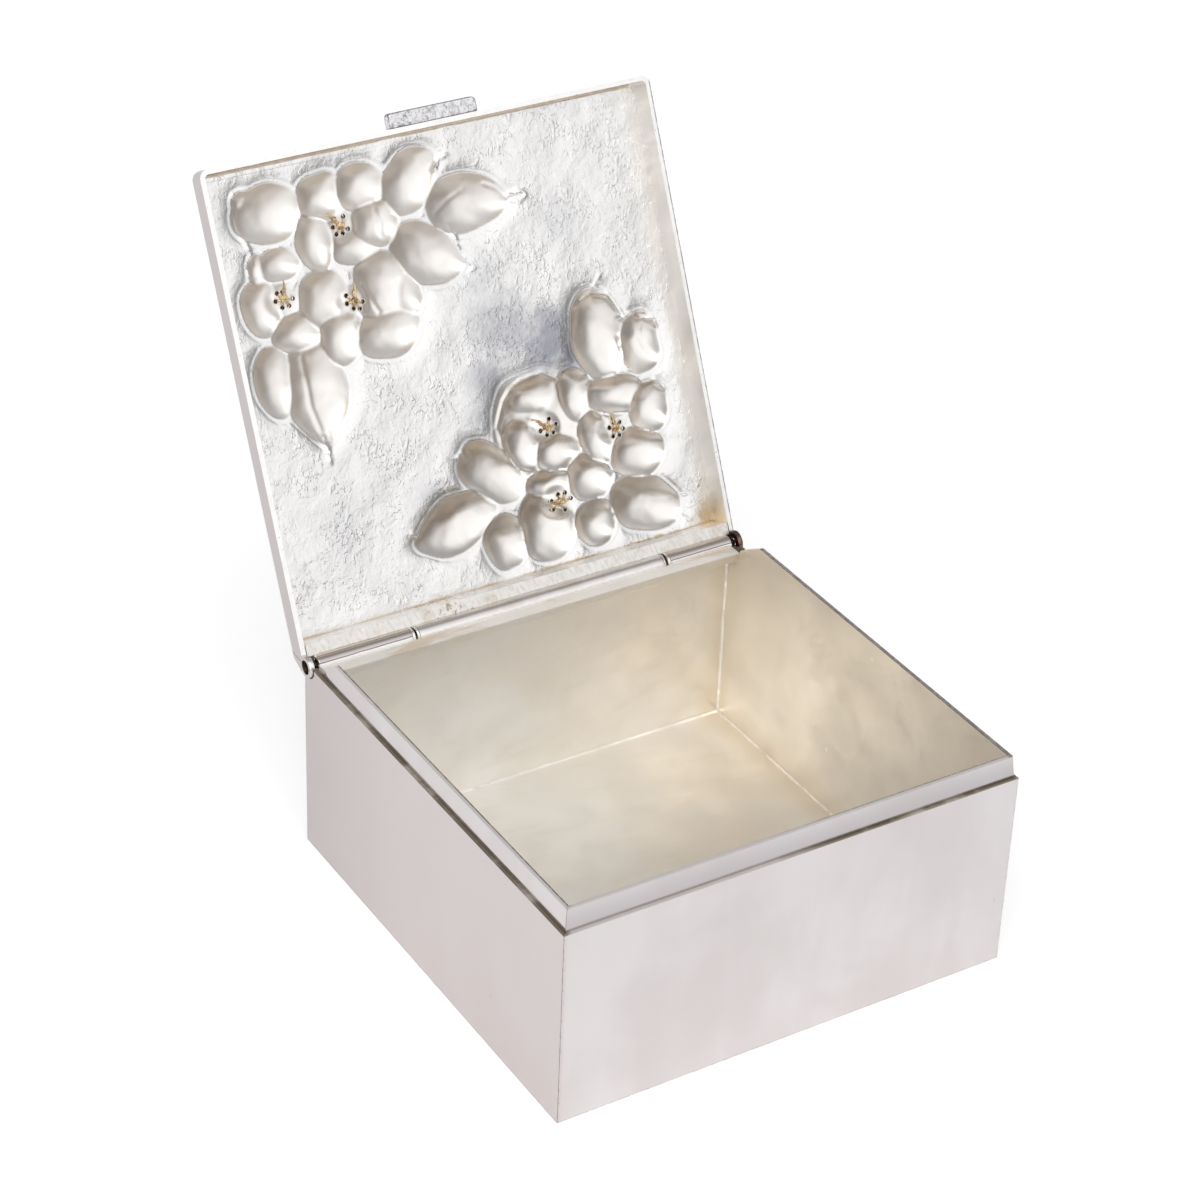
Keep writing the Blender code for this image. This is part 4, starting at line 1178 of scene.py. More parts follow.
def add_rod(bm: bmesh.types.BMesh, radius: float, length: float, matrix: Matrix, segments: int) -> None:
    """Add a closed cylinder to a mesh.

    Args:
        bm: The mesh.
        radius: Its radius.
        length: Its length.
        matrix: Where it stands; its own axis is z.
        segments: Number of its sides.
    """
    bmesh.ops.create_cone(bm, cap_ends=True, segments=segments, radius1=radius, radius2=radius, depth=length,
                          matrix=matrix)


def arc(centre: Point, radius: float, start: float, end: float, steps: int) -> list[Point]:
    """Points on an arc between two angles in degrees, both ends included."""
    angles = [math.radians(start + (end - start) * index / steps) for index in range(steps + 1)]
    return [(centre[0] + radius * math.cos(angle), centre[1] + radius * math.sin(angle)) for angle in angles]


def round_edges(bm: bmesh.types.BMesh, edges: Sequence[bmesh.types.BMEdge], width: float, segments: int,
                kept_apart: bool = False) -> None:
    """Round chosen edges of a mesh.

    Args:
        bm: The mesh.
        edges: The edges.
        width: Distance that an edge is set back.
        segments: Number of faces across a rounded edge.
        kept_apart: Whether roundings that would overlap are made smaller.
    """
    bmesh.ops.bevel(bm, geom=edges, offset=width, offset_type="OFFSET", segments=segments, profile=0.5,
                    affect="EDGES", clamp_overlap=kept_apart, material=-1)


def bevel_sharp(bm: bmesh.types.BMesh, width: float, segments: int = 2, limit: float = 30.0) -> None:
    """Round the sharp edges of a mesh.

    Args:
        bm: The mesh.
        width: Distance that an edge is set back.
        segments: Number of faces across a rounded edge.
        limit: Angle in degrees above which an edge is sharp.
    """
    bmesh.ops.recalc_face_normals(bm, faces=bm.faces)
    sharp = [edge for edge in bm.edges
             if len(edge.link_faces) == 2 and edge.calc_face_angle(0.0) > math.radians(limit)]
    round_edges(bm, sharp, width, segments, True)


def cut_plane(bm: bmesh.types.BMesh, place: Sequence[float], normal: Sequence[float]) -> None:
    """Cut the faces of a mesh where a plane crosses them."""
    bmesh.ops.bisect_plane(bm, geom=bm.verts[:] + bm.edges[:] + bm.faces[:], plane_co=place, plane_no=normal)


def slice_along(bm: bmesh.types.BMesh, axis: int, low: float, high: float, step: float = STEP) -> None:
    """Cut a mesh by parallel planes, so that it can take soft waves.

    Args:
        bm: The mesh.
        axis: The axis that the planes stand across.
        low: Start of the cut length.
        high: End of the cut length.
        step: Rough distance between planes.
    """
    count = max(int((high - low) / step), 1)
    normal = Vector((0, 0, 0))
    normal[axis] = 1
    for index in range(1, count):
        cut_plane(bm, normal * (low + (high - low) * index / count), normal)


def mesh_of(bm: bmesh.types.BMesh, name: str = "work") -> bpy.types.Mesh:
    """Turn a mesh that is being edited into one for objects, and free it.

    Args:
        bm: The mesh.
        name: Name of the new one.

    Returns:
        The new one.
    """
    mesh = bpy.data.meshes.new(name)
    bm.to_mesh(mesh)
    bm.free()
    return mesh


def linked(name: str, data: bpy.types.ID) -> bpy.types.Object:
    """Put a new object in the scene.

    Args:
        name: Its name.
        data: Its mesh, curve, camera or light.

    Returns:
        The object.
    """
    obj = bpy.data.objects.new(name, data)
    bpy.context.scene.collection.objects.link(obj)
    return obj


def mesh_boolean(base: bmesh.types.BMesh, other: bmesh.types.BMesh, operation: str) -> bmesh.types.BMesh:
    """Join, cut or trim one closed mesh with another and free both.

    Args:
        base: The mesh that is changed.
        other: The mesh that it meets.
        operation: The modifier's operation.

    Returns:
        The result.
    """
    objects = []
    for bm in (base, other):
        bmesh.ops.recalc_face_normals(bm, faces=bm.faces)
        objects.append(linked("work", mesh_of(bm)))
    modifier = objects[0].modifiers.new("work", "BOOLEAN")
    modifier.operation = operation
    modifier.solver = "EXACT"
    modifier.object = objects[1]
    graph = bpy.context.evaluated_depsgraph_get()
    result = bmesh.new()
    result.from_object(objects[0], graph)
    for obj in objects:
        mesh = obj.data
        bpy.data.objects.remove(obj)
        bpy.data.meshes.remove(mesh)
    return result


def joined(*parts: bmesh.types.BMesh) -> bmesh.types.BMesh:
    """Gather several meshes in one and free them.

    Args:
        parts: The meshes.

    Returns:
        The one mesh.
    """
    whole = bmesh.new()
    for part in parts:
        mesh = mesh_of(part)
        whole.from_mesh(mesh)
        bpy.data.meshes.remove(mesh)
    return whole


class Workshop:
    """Turns meshes into pieces that ride on a body and stand for nodes of the frame."""

    def __init__(self, finishes: dict[Slot, bpy.types.Material], space: LidSpace) -> None:
        """Keep the finishes and the space of the shut lid.

        Args:
            finishes: One material for each slot.
            space: The space in which lid pieces are built.
        """
        self.finishes = finishes
        self.space = space

    def place(self, bm: bmesh.types.BMesh, name: str, body: Body, slots: Sequence[Slot],
              nodes: Sequence[str], smooth: float = 35.0, weighted: bool = True) -> bpy.types.Object:
        """Make a piece and put it in place.

        Args:
            bm: The mesh, built with the lid shut; it is freed.
            name: Name of the piece.
            body: The body that it rides on.
            slots: Its finishes, in the order of its material indices.
            nodes: The nodes that it stands for.
            smooth: Angle in degrees above which an edge stays sharp.
            weighted: Whether large faces keep their own normals.

        Returns:
            The piece.
        """
        if body is Body.LID:
            bm.transform(self.space.matrix())
        mesh = mesh_of(bm, name)
        for slot in slots:
            mesh.materials.append(self.finishes[slot])
        mesh.shade_smooth()
        mesh.set_sharp_from_angle(angle=math.radians(smooth))
        obj = linked(name, mesh)
        if weighted:
            obj.modifiers.new("even_faces", "WEIGHTED_NORMAL").keep_sharp = True
        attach(obj, body.value)
        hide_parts(*nodes)
        log.info("%s: %d faces", name, len(mesh.polygons))
        return obj


@dataclass
class Plate:
    """A flat sheet of the case or liner with mitred ends and faint waves."""

    name: str
    axis: int
    outer: float
    inner: float
    ends: tuple[float, float]
    foot: float
    top: float
    wave: float = 0.00006
    edge: float = 0.00022
    outline: tuple[Point, ...] = ()

    TOUCH: ClassVar[float] = 1e-7

    def mesh(self) -> bmesh.types.BMesh:
        """Build the sheet; axis is 0 for a side sheet and 1 for a front or back sheet.

        Returns:
            The mesh, faces turned outwards.
        """
        along = 1 - self.axis
        low, high = sorted((self.outer, self.inner))
        if self.outline:
            bm = bmesh_prism(self.outline, "X", low, high)
        else:
            corner_low, corner_high = Vector((0, 0, self.foot)), Vector((0, 0, self.top))
            corner_low[self.axis], corner_high[self.axis] = low, high
            corner_low[along], corner_high[along] = self.ends
            bm = bmesh_box(corner_low, corner_high)
        for vert in bm.verts:
            if abs(vert.co[self.axis] - self.inner) < self.TOUCH:
                for end, sign in zip(self.ends, (1, -1)):
                    if abs(vert.co[along] - end) < self.TOUCH:
                        vert.co[along] += sign * (high - low)
                        break
        bevel_sharp(bm, self.edge)
        slice_along(bm, along, *self.ends)
        slice_along(bm, 2, self.foot, self.top)
        for vert in bm.verts:
            spare = min(vert.co[along] - self.ends[0], self.ends[1] - vert.co[along],
                        vert.co.z - self.foot, self.top - vert.co.z)
            fade = clamp(spare / FADE)
            seed = Vector((vert.co[along] / 0.022, vert.co.z / 0.026, self.outer * 400))
            inward = self.wave * fade * (0.5 + 0.5 * noise.noise(seed))
            vert.co[self.axis] -= math.copysign(inward, self.outer)
        bmesh.ops.recalc_face_normals(bm, faces=bm.faces)
        return bm


class Case:
    """The outer case: four bright sheets and the bottom."""

    def __init__(self, shop: Workshop) -> None:
        """Measure the case on the frame.

        Args:
            shop: Makes the pieces.
        """
        self.shop = shop
        front_low, front_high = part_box("front_wall")
        self.half_x = -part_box("left_wall")[0].x
        self.half_y = -front_low.y
        self.top = front_high.z
        self.inner_x = -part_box("liner_left")[0].x
        self.inner_y = -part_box("liner_front")[0].y
        self.axis_y = LID_SPACE.pivot.y
        self.axis_z = LID_SPACE.pivot.z

    def notch(self, radius: float, back: float, top: float, steps: int) -> list[Point]:
        """Edge of a side sheet round the hinge, from back to front.

        Args:
            radius: Radius of the notch.
            back: The sheet's back.
            top: The sheet's top behind the notch.
            steps: Number of its straight parts.

        Returns:
            Its points.
        """
        start = -math.degrees(math.acos((back - self.axis_y) / radius))
        end = -180 - math.degrees(math.asin((top - self.axis_z) / radius))
        return arc((self.axis_y, self.axis_z), radius, start, end, steps)

    def build(self) -> None:
        """Make the sheets of the case and its bottom."""
        reach_x, reach_y = self.half_x, self.half_y
        front = Plate("case_front", 1, -reach_y, -self.inner_y, (-reach_x, reach_x), 0, self.top)
        self.shop.place(front.mesh(), front.name, Body.BOX, (Slot.POLISHED,), ("front_wall",))
        outline = [(-reach_y, 0), (reach_y, 0), *self.notch(0.0029, reach_y, self.top, 24),
                   (-reach_y, self.top)]
        for name, sign, node in (("case_left", -1, "left_wall"), ("case_right", 1, "right_wall")):
            plate = Plate(name, 0, sign * reach_x, sign * self.inner_x, (-reach_y, reach_y), 0, self.top,
                          outline=tuple(outline))
            self.shop.place(plate.mesh(), name, Body.BOX, (Slot.POLISHED,), (node,))
        back_low, back_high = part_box("back_wall")
        back = Plate("case_back", 1, reach_y, self.inner_y, (back_low.x, back_high.x), 0, back_high.z,
                     edge=0.0001)
        self.shop.place(back.mesh(), back.name, Body.BOX, (Slot.POLISHED,), ("back_wall",))
        self.bottom()

    def bottom(self) -> None:
        """Make the floor sheet."""
        low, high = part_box("bottom_plate")
        bm = bmesh_box(low, high)
        bevel_sharp(bm, 0.0001)
        slice_along(bm, 0, low.x, high.x)
        slice_along(bm, 1, low.y, high.y)
        for vert in bm.verts:
            fade = clamp(min(high.x - abs(vert.co.x), high.y - abs(vert.co.y)) / FADE)
            if vert.co.z > 0.0005:
                vert.co.z += 0.0001 * fade * noise.noise(Vector((vert.co.x / 0.02, vert.co.y / 0.024, 3.0)))
        for face in bm.faces:
            face.material_index = 1 if face.normal.z > 0.5 else 0
        self.shop.place(bm, "case_bottom", Body.BOX, (Slot.SATIN, Slot.SATIN), ("bottom_plate",))


class Liner:
    """The inner sheets that stand up above the ledge: bright outside, satin inside."""

    SPREAD = 0.0005
    FILLET = 0.00036
    FILLET_STEP = 0.0006

    def __init__(self, shop: Workshop, case: Case) -> None:
        """Measure the liner on the frame.

        Args:
            shop: Makes the pieces.
            case: The case round it.
        """
        self.shop = shop
        self.case = case
        self.outer_x = case.inner_x
        self.outer_y = case.inner_y
        self.inner_x = -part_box("liner_left")[1].x
        self.inner_y = -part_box("liner_front")[1].y
        self.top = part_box("liner_front")[1].z
        self.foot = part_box("bottom_plate")[1].z

    def _finish(self, plate: Plate) -> bmesh.types.BMesh:
        """Spread a sheet's foot at the ledge, give its inside the second finish and add its seam.

        Args:
            plate: The sheet.

        Returns:
            The sheet with its seam.
        """
        bm, axis, inner = plate.mesh(), plate.axis, plate.inner
        toward = -math.copysign(1, inner)
        ledge = self.case.top
        if inner < 0 or axis == 0:
            cut_plane(bm, (0, 0, ledge - 0.00002), (0, 0, 1))
            for vert in bm.verts:
                outside = (inner - vert.co[axis]) * toward > 0.0004
                if outside and vert.co.z > ledge - 0.0001 and vert.co.y < self.case.axis_y - 0.005:
                    share = self.SPREAD * (self.top - vert.co.z) / (self.top - ledge)
                    vert.co[axis] -= toward * share
                    end = (self.outer_y, self.outer_x)[axis] - abs(vert.co[1 - axis])
                    if end < 0.0003:
                        vert.co[1 - axis] += math.copysign(share, vert.co[1 - axis])
        for face in bm.faces:
            face.material_index = 1 if face.normal[axis] * toward > 0.6 else 0
        return joined(bm, self.seam(axis, inner))

    def seam(self, axis: int, inner: float) -> bmesh.types.BMesh:
        """Rough fillet of solder along the foot of a sheet, and up both ends of a side sheet.

        Args:
            axis: 0 for a side sheet and 1 for a front or back sheet.
            inner: Place of its inner face on that axis.

        Returns:
            The fillet.
        """
        size = self.FILLET
        toward = -math.copysign(1, inner)
        length = self.inner_x if axis == 1 else self.inner_y
        points = [(inner, self.foot), (inner + toward * size, self.foot), (inner, self.foot + size)]
        foot = bmesh_prism(points, "X", -length, length)
        slice_along(foot, 0, -length, length, self.FILLET_STEP)
        if axis == 0:
            foot.transform(Matrix(((0, 1, 0, 0), (1, 0, 0, 0), (0, 0, 1, 0), (0, 0, 0, 1))))
            top = {-1: self.top - 0.0006, 1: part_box("body_bearer")[0].z}
            for end in (-1, 1):
                place = end * self.inner_y
                points = [(inner, place), (inner + toward * size, place), (inner, place - end * size)]
                corner = bmesh_prism(points, "Z", self.foot, top[end])
                slice_along(corner, 2, self.foot, top[end], self.FILLET_STEP)
                foot = joined(foot, corner)
        for vert in foot.verts:
            away = [self.inner_x - abs(vert.co.x), self.inner_y - abs(vert.co.y), vert.co.z - self.foot]
            change = 0.8 * size * noise.noise(vert.co / 0.0013)
            for index in range(3):
                if abs(away[index] - size) < NEAR:
                    vert.co[index] += change * (1 if index == 2 else -math.copysign(1, vert.co[index]))
        bmesh.ops.recalc_face_normals(foot, faces=foot.faces)
        for face in foot.faces:
            face.material_index = 1
        return foot

    def build(self) -> None:
        """Make the four sheets."""
        slots = (Slot.POLISHED, Slot.SATIN)
        ends = (-self.outer_x, self.outer_x)
        for name, sign, node, edge in (("liner_sheet_front", -1, "liner_front", 0.0002),
                                       ("liner_sheet_back", 1, "liner_back", 0.0001)):
            plate = Plate(name, 1, sign * self.outer_y, sign * self.inner_y, ends, self.foot,
                          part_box(node)[1].z, edge=edge)
            self.shop.place(self._finish(plate), name, Body.BOX, slots, (node,))
        ledge = self.case.top
        low_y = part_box("body_bearer")[0].y - 0.0003
        for name, sign, node, ramp in (("liner_sheet_left", -1, "liner_left", 0.0050),
                                       ("liner_sheet_right", 1, "liner_right", 0.0080)):
            outline = [(-self.outer_y, self.foot), (self.outer_y, self.foot),
                       *self.case.notch(0.0024, self.outer_y, ledge, 24),
                       (low_y + 0.0002, ledge), (low_y - 0.0004, ledge + 0.0010),
                       (low_y - ramp, self.top), (-self.outer_y, self.top)]
            plate = Plate(name, 0, sign * self.outer_x, sign * self.inner_x, (-self.outer_y, self.outer_y),
                          self.foot, self.top, edge=0.0002, outline=tuple(outline))
            self.shop.place(self._finish(plate), name, Body.BOX, slots, (node,))


class Hinge:
    """Three tubes in their grooves, on one pin."""

    TUBE = 0.0021
    BORE = 0.0011
    EDGE = 0.00028
    PIN = 0.0008

    def __init__(self, shop: Workshop) -> None:
        """Keep the workshop.

        Args:
            shop: Makes the pieces.
        """
        self.shop = shop
        self.axis_y = LID_SPACE.pivot.y
        self.axis_z = LID_SPACE.pivot.z

    def tube(self, name: str, node: str, body: Body, span: tuple[float, float]) -> None:
        """Spin the wall section of one tube about the hinge axis.

        Args:
            name: Name of the piece.
            node: The node that it stands for.
            body: The body that it rides on.
            span: Its ends on x.
        """
        low, high = span
        outer, inner, edge = self.TUBE, self.BORE, self.EDGE
        bm = bmesh.new()
        rounding = [(edge * (1 - math.sin(turn)), outer - edge * (1 - math.cos(turn)))
                    for turn in (1.2, 0.8, 0.4)]
        section = [(low + edge, inner), (high - edge, inner), (high, inner + edge), (high, outer - edge),
                   *((high - inset, radius) for inset, radius in rounding), (high - edge, outer),
                   (low + edge, outer), *((low + inset, radius) for inset, radius in rounding[::-1]),
                   (low, outer - edge), (low, inner + edge)]
        corners = [bm.verts.new((x, self.axis_y, self.axis_z + r)) for x, r in section]
        edges = [bm.edges.new((corners[index - 1], corners[index])) for index in range(len(corners))]
        bmesh.ops.spin(bm, geom=corners + edges, cent=(0, self.axis_y, self.axis_z), axis=(1, 0, 0),
                       angle=2 * math.pi, steps=64, use_merge=True)
        bmesh.ops.remove_doubles(bm, verts=bm.verts, dist=1e-7)
        slice_along(bm, 0, low, high, 0.0025)
        for vert in bm.verts:
            fade = clamp(min(vert.co.x - low, high - vert.co.x) / 0.004)
            radial = Vector((0, vert.co.y - self.axis_y, vert.co.z - self.axis_z))
            if radial.length > 0.0015:
                vert.co -= radial.normalized() * 0.00003 * fade * (1 + noise.noise(vert.co / 0.005))
        bmesh.ops.recalc_face_normals(bm, faces=bm.faces)
        self.shop.place(bm, name, body, (Slot.TUBE,), (node,))

    def build(self) -> None:
        """Make the tubes, the box's bearer and the pin."""
        for name, node in (("tube_left", "body_knuckle_left"), ("tube_right", "body_knuckle_right")):
            low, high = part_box(node)
            self.tube(name, node, Body.BOX, (low.x, high.x))
        low, high = LID_SPACE.shut_box("lid_knuckle")
        self.tube("tube_middle", "lid_knuckle", Body.LID, (low.x, high.x))
        self.bearer()
        self.pin()

    def bearer(self) -> None:
        """Make the grooved strip behind the back liner's top."""
        low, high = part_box("body_bearer")
        reach_y = -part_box("liner_front")[0].y
        groove = arc((self.axis_y, self.axis_z), GROOVE_RADIUS,
                     -math.degrees(math.acos((reach_y - self.axis_y) / GROOVE_RADIUS)),
                     -180 - math.degrees(math.asin((high.z - self.axis_z) / GROOVE_RADIUS)), 40)
        outline = [(low.y, high.z), (low.y, high.z - 0.0022), (reach_y - 0.0021, low.z), (reach_y, low.z),
                   *groove]
        reach_x = -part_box("liner_left")[1].x
        bm = bmesh_prism(outline, "X", -reach_x, reach_x)
        bevel_sharp(bm, FINE_EDGE, limit=25)
        slice_along(bm, 0, -reach_x, reach_x, 0.003)
        self.shop.place(bm, "box_bearer", Body.BOX, (Slot.SATIN,), ("body_bearer",))

    def pin(self) -> None:
        """Make the pin."""
        low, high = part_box("hinge_pin")
        bm = bmesh.new()
        add_rod(bm, self.PIN, high.x - low.x, LID_SPACE.axle(), 32)
        bevel_sharp(bm, 0.00025, 3, 60)
        self.shop.place(bm, "pin", Body.BOX, (Slot.PIN,), ("hinge_pin",))


class Lid:
    """The embossed sheet and the rim, back sheet, bar and tab that are soldered to it."""

    CELL = 1.4
    SHEET = 1.0
    HOLE = 0.00052
    FLARE = 0.0003
    ROUND = 0.0026
    SINK = 0.0017
    WALL = 0.0012
    CORNER = 0.0022
    BURR = 0.00012
    WALL_BAND = 0.0035
    MARGIN = 1.4
    SLOPE_FOOT = (0.0573, 0.0511)
    SLOPE_HEAD = (0.0515, 0.0572)

    def __init__(self, shop: Workshop) -> None:
        """Measure the lid on the frame.

        Args:
            shop: Makes the pieces.
        """
        self.shop = shop
        self.axis_y = LID_SPACE.pivot.y
        self.axis_z = LID_SPACE.pivot.z
        rim_low, rim_high = LID_SPACE.shut_box("lid_rim")
        self.reach_x = rim_high.x
        self.front = rim_low.y
        self.edge_z = LID_SPACE.shut_box("lid_bearer")[0].z
        self.panel_z = LID_SPACE.shut_box("lid_panel")[0].z
        self.back = LID_SPACE.shut_box("lid_panel")[1].y
        inset = (self.WALL + 0.0006) / MM
        self.relief = Relief(UPPER_LEFT_PETALS + LOWER_RIGHT_PETALS, STROKES, EYES,
                             (-self.reach_x / MM + inset, self.front / MM + inset),
                             (self.reach_x / MM - inset, self.back / MM - inset))

    def ground(self, x: float, y: float) -> float:
        """Hammer dents of the flat ground.

        Args:
            x: Millimetres to the right.
            y: Millimetres towards the hinge.

        Returns:
            The height in millimetres.
        """
        broad = noise.noise(Vector((x / 9.0, y / 9.0, 1.7)))
        dents = noise.noise(Vector((x / 3.0, y / 3.0, 8.3)))
        return 0.16 * broad + 0.06 * dents

    def lumps(self, x: float, y: float) -> float:
        """Marks of the punch inside the petals.

        Args:
            x: Millimetres to the right.
            y: Millimetres towards the hinge.

        Returns:
            The height in millimetres.
        """
        broad = noise.noise(Vector((x / 4.2, y / 4.2, 4.1)))
        small = noise.noise(Vector((x / 2.0, y / 2.0, 6.4)))
        return 0.20 * broad + 0.05 * small

    def relief_grid(self) -> bmesh.types.BMesh:
        """The sheet's inner face in millimetres, finer near the relief.

        Returns:
            The open mesh, made of triangles.
        """
        width = 2 * self.reach_x / MM
        depth = (self.back - self.front) / MM
        bm = bmesh.new()
        centre = Vector((0, (self.back + self.front) / 2 / MM, 0))
        place = Matrix.Translation(centre) @ Matrix.Diagonal((width, depth, 1, 1))
        bmesh.ops.create_grid(bm, x_segments=round(width / self.CELL), y_segments=round(depth / self.CELL),
                              size=0.5, matrix=place)
        centres = np.array([face.calc_center_median()[:2] for face in bm.faces])
        near = self.relief.near(centres[:, 0], centres[:, 1], self.MARGIN)
        fine = {edge for face, hit in zip(bm.faces, near) if hit for edge in face.edges}
        coarse = [edge for edge in bm.edges if edge not in fine]
        bmesh.ops.subdivide_edges(bm, edges=list(fine), cuts=2, use_grid_fill=True)
        coarse = [edge for edge in coarse if edge.is_valid]
        bmesh.ops.subdivide_edges(bm, edges=coarse, cuts=1, use_grid_fill=True)
        places = np.array([vert.co[:2] for vert in bm.verts])
        heights = self.relief.height(places[:, 0], places[:, 1])
        low, high = self.relief.low, self.relief.high
        for vert, height in zip(bm.verts, heights):
            x, y = vert.co.x, vert.co.y
            fade = clamp(min(x - low[0], high[0] - x, y - low[1], high[1] - y) / 2)
            dents = self.ground(x, y) * max(0.25, 1 - height / 2) + self.lumps(x, y) * clamp(height - 0.5)
            vert.co.z = height + fade * dents
        bmesh.ops.triangulate(bm, faces=bm.faces[:])
        return bm

    def panel_mesh(self) -> bmesh.types.BMesh:
        """The embossed sheet with its two skins, rounded corners and holes for the wires.

        Returns:
            The mesh.
        """
        bm = self.relief_grid()
        extruded = bmesh.ops.extrude_face_region(bm, geom=bm.faces[:], use_keep_orig=True)
        raised = [item for item in extruded["geom"] if isinstance(item, bmesh.types.BMVert)]
        bmesh.ops.translate(bm, verts=raised, vec=(0, 0, self.SHEET))
        bmesh.ops.scale(bm, verts=bm.verts, vec=(MM, MM, MM))
        bmesh.ops.translate(bm, verts=bm.verts, vec=(0, 0, self.panel_z))
        for vert in raised:
            beyond = math.hypot(max(self.ROUND - (self.reach_x - self.FLARE - abs(vert.co.x)), 0),
                                max(self.ROUND - (vert.co.y - self.front - self.FLARE), 0))
            drop = self.ROUND - math.sqrt(self.ROUND ** 2 - min(beyond, self.ROUND) ** 2)
            vert.co.z -= min(drop, self.SHEET * MM * 0.9)
        lean = self.lean(self.panel_z)
        plan = self.front_outline(self.reach_x - lean, self.front + lean, self.CORNER, self.back + 0.005)
        cutter = bmesh_prism(plan, "Z", self.panel_z - 0.005, self.panel_z + 0.01)
        bm = self.cut_back(mesh_boolean(bm, cutter, "INTERSECT"))
        drills = bmesh.new()
        for x, y in self.holes():
            spot = Matrix.Translation((x * MM, y * MM, self.panel_z)) @ Matrix.Rotation(0.11, 4, "Z")
            add_rod(drills, self.HOLE, 0.02, spot, 24)
        return mesh_boolean(bm, drills, "DIFFERENCE")

    @staticmethod
    def holes() -> list[Point]:
        """Places of all the wires, in millimetres."""
        return [hole for eye in EYES for hole in eye.holes]

    def front_outline(self, reach: float, front: float, radius: float, back: float) -> list[Point]:
        """Edge of the lid's plan from the back left round both front corners to the back right.

        Args:
            reach: Half its width.
            front: Its front.
            radius: Radius of its front corners.
            back: Its back.

        Returns:
            Its points.
        """
        return [(-reach, back), *arc((-reach + radius, front + radius), radius, 180, 270, 10),
                *arc((reach - radius, front + radius), radius, 270, 360, 10), (reach, back)]

    def cut_back(self, bm: bmesh.types.BMesh, inward: float = 0.0) -> bmesh.types.BMesh:
        """Take away what lies behind the slope from the hinge up to the top of the lid.

        Args:
            bm: A mesh of the shut lid; it is freed.
            inward: How far inside the slope the cut lies.

        Returns:
            The cut mesh.
        """
        rise = Vector([head - foot for foot, head in zip(self.SLOPE_FOOT, self.SLOPE_HEAD)]).normalized()
        shift = Vector((-rise.y, rise.x)) * inward
        start = Vector(self.SLOPE_FOOT) + shift - rise * 0.0004
        end = Vector(self.SLOPE_HEAD) + shift + rise * 0.01
        outline = [tuple(start), (start.x + 0.02, start.y), (start.x + 0.02, end.y + 0.01), tuple(end)]
        return mesh_boolean(bm, bmesh_prism(outline, "X", -CUTTER_REACH, CUTTER_REACH), "DIFFERENCE")

    def lean(self, z: float) -> float:
        """How far the rim's outer face lies inwards of its edge.

        Args:
            z: Height in the shut lid.

        Returns:
            The distance.
        """
        top = self.panel_z + self.SHEET * MM
        over = min(max(z - (top - self.ROUND), 0), self.ROUND)
        slope = clamp((z - self.edge_z) / (top - self.edge_z)) * self.FLARE
        return slope + self.ROUND - math.sqrt(self.ROUND ** 2 - over ** 2)

    def flare(self, bm: bmesh.types.BMesh) -> None:
        """Lean the walls of the rim a little inwards and round them over towards the sheet.

        Args:
            bm: The rim or its fillet.
        """
        for vert in bm.verts:
            outer, inner = self.lean(vert.co.z), self.lean(min(vert.co.z, 0.054))
            in_x, in_y = self.reach_x - abs(vert.co.x), vert.co.y - self.front
            share = outer if min(in_x, in_y) < 0.0008 else inner
            if in_x < self.WALL_BAND:
                vert.co.x -= math.copysign(share, vert.co.x)
            if in_y < self.WALL_BAND:
                vert.co.y += share

    def add_marks(self, bm: bmesh.types.BMesh) -> None:
        """Lay the plan, the relief's height and the way that it leans on the sheet for its finish.

        Args:
            bm: The sheet.
        """
        plan = bm.loops.layers.uv.new("lid_plan")
        places = np.array([vert.co[:] for vert in bm.verts]) / MM
        heights = self.relief.height(places[:, 0], places[:, 1])
        halos = self.relief.halo(places[:, 0], places[:, 1])
        for name in MARKS:
            bm.verts.layers.float.new(name)
        relief, lean, halo, inside = (bm.verts.layers.float[name] for name in MARKS)
        bm.normal_update()
        for vert, height, share in zip(bm.verts, heights, halos):
            vert[relief] = float(height)
            vert[halo] = float(share)
            vert[inside] = 1.0 if vert.normal.z < 0 else 0.0
            vert[lean] = (vert.normal.x + vert.normal.y) * -math.copysign(math.sqrt(0.5), vert.normal.z)
        holes = np.array(self.holes()) * MM
        for face in bm.faces:
            for loop in face.loops:
                loop[plan].uv = loop.vert.co.xy
            # Painted shade: the walls of the wire holes take the near-black pin finish.
            if abs(face.normal.z) < 0.4:
                away = [np.hypot(*(holes - vert.co.xy[:]).T).min() for vert in face.verts]
                if max(away) < self.HOLE * 1.02:
                    face.material_index = 1

    def burrs(self) -> bmesh.types.BMesh:
        """A fine raised ring round each hole on the inside.

        Returns:
            The mesh.
        """
        bm = bmesh.new()
        for x, y in self.holes():
            centre = Vector((x * MM, y * MM, self.panel_z + Relief.EYE_RISE * MM))
            start = Matrix.Translation(centre + Vector((self.HOLE + 0.00008, 0, 0)))
            ring = bmesh.ops.create_circle(bm, cap_ends=False, segments=8, radius=self.BURR,
                                           matrix=start @ Matrix.Rotation(math.pi / 2, 4, "X"))
            edges = list({edge for vert in ring["verts"] for edge in vert.link_edges})
            bmesh.ops.spin(bm, geom=ring["verts"] + edges, cent=centre, axis=(0, 0, 1),
                           angle=2 * math.pi, steps=24, use_merge=True)
        bmesh.ops.recalc_face_normals(bm, faces=bm.faces)
        return bm

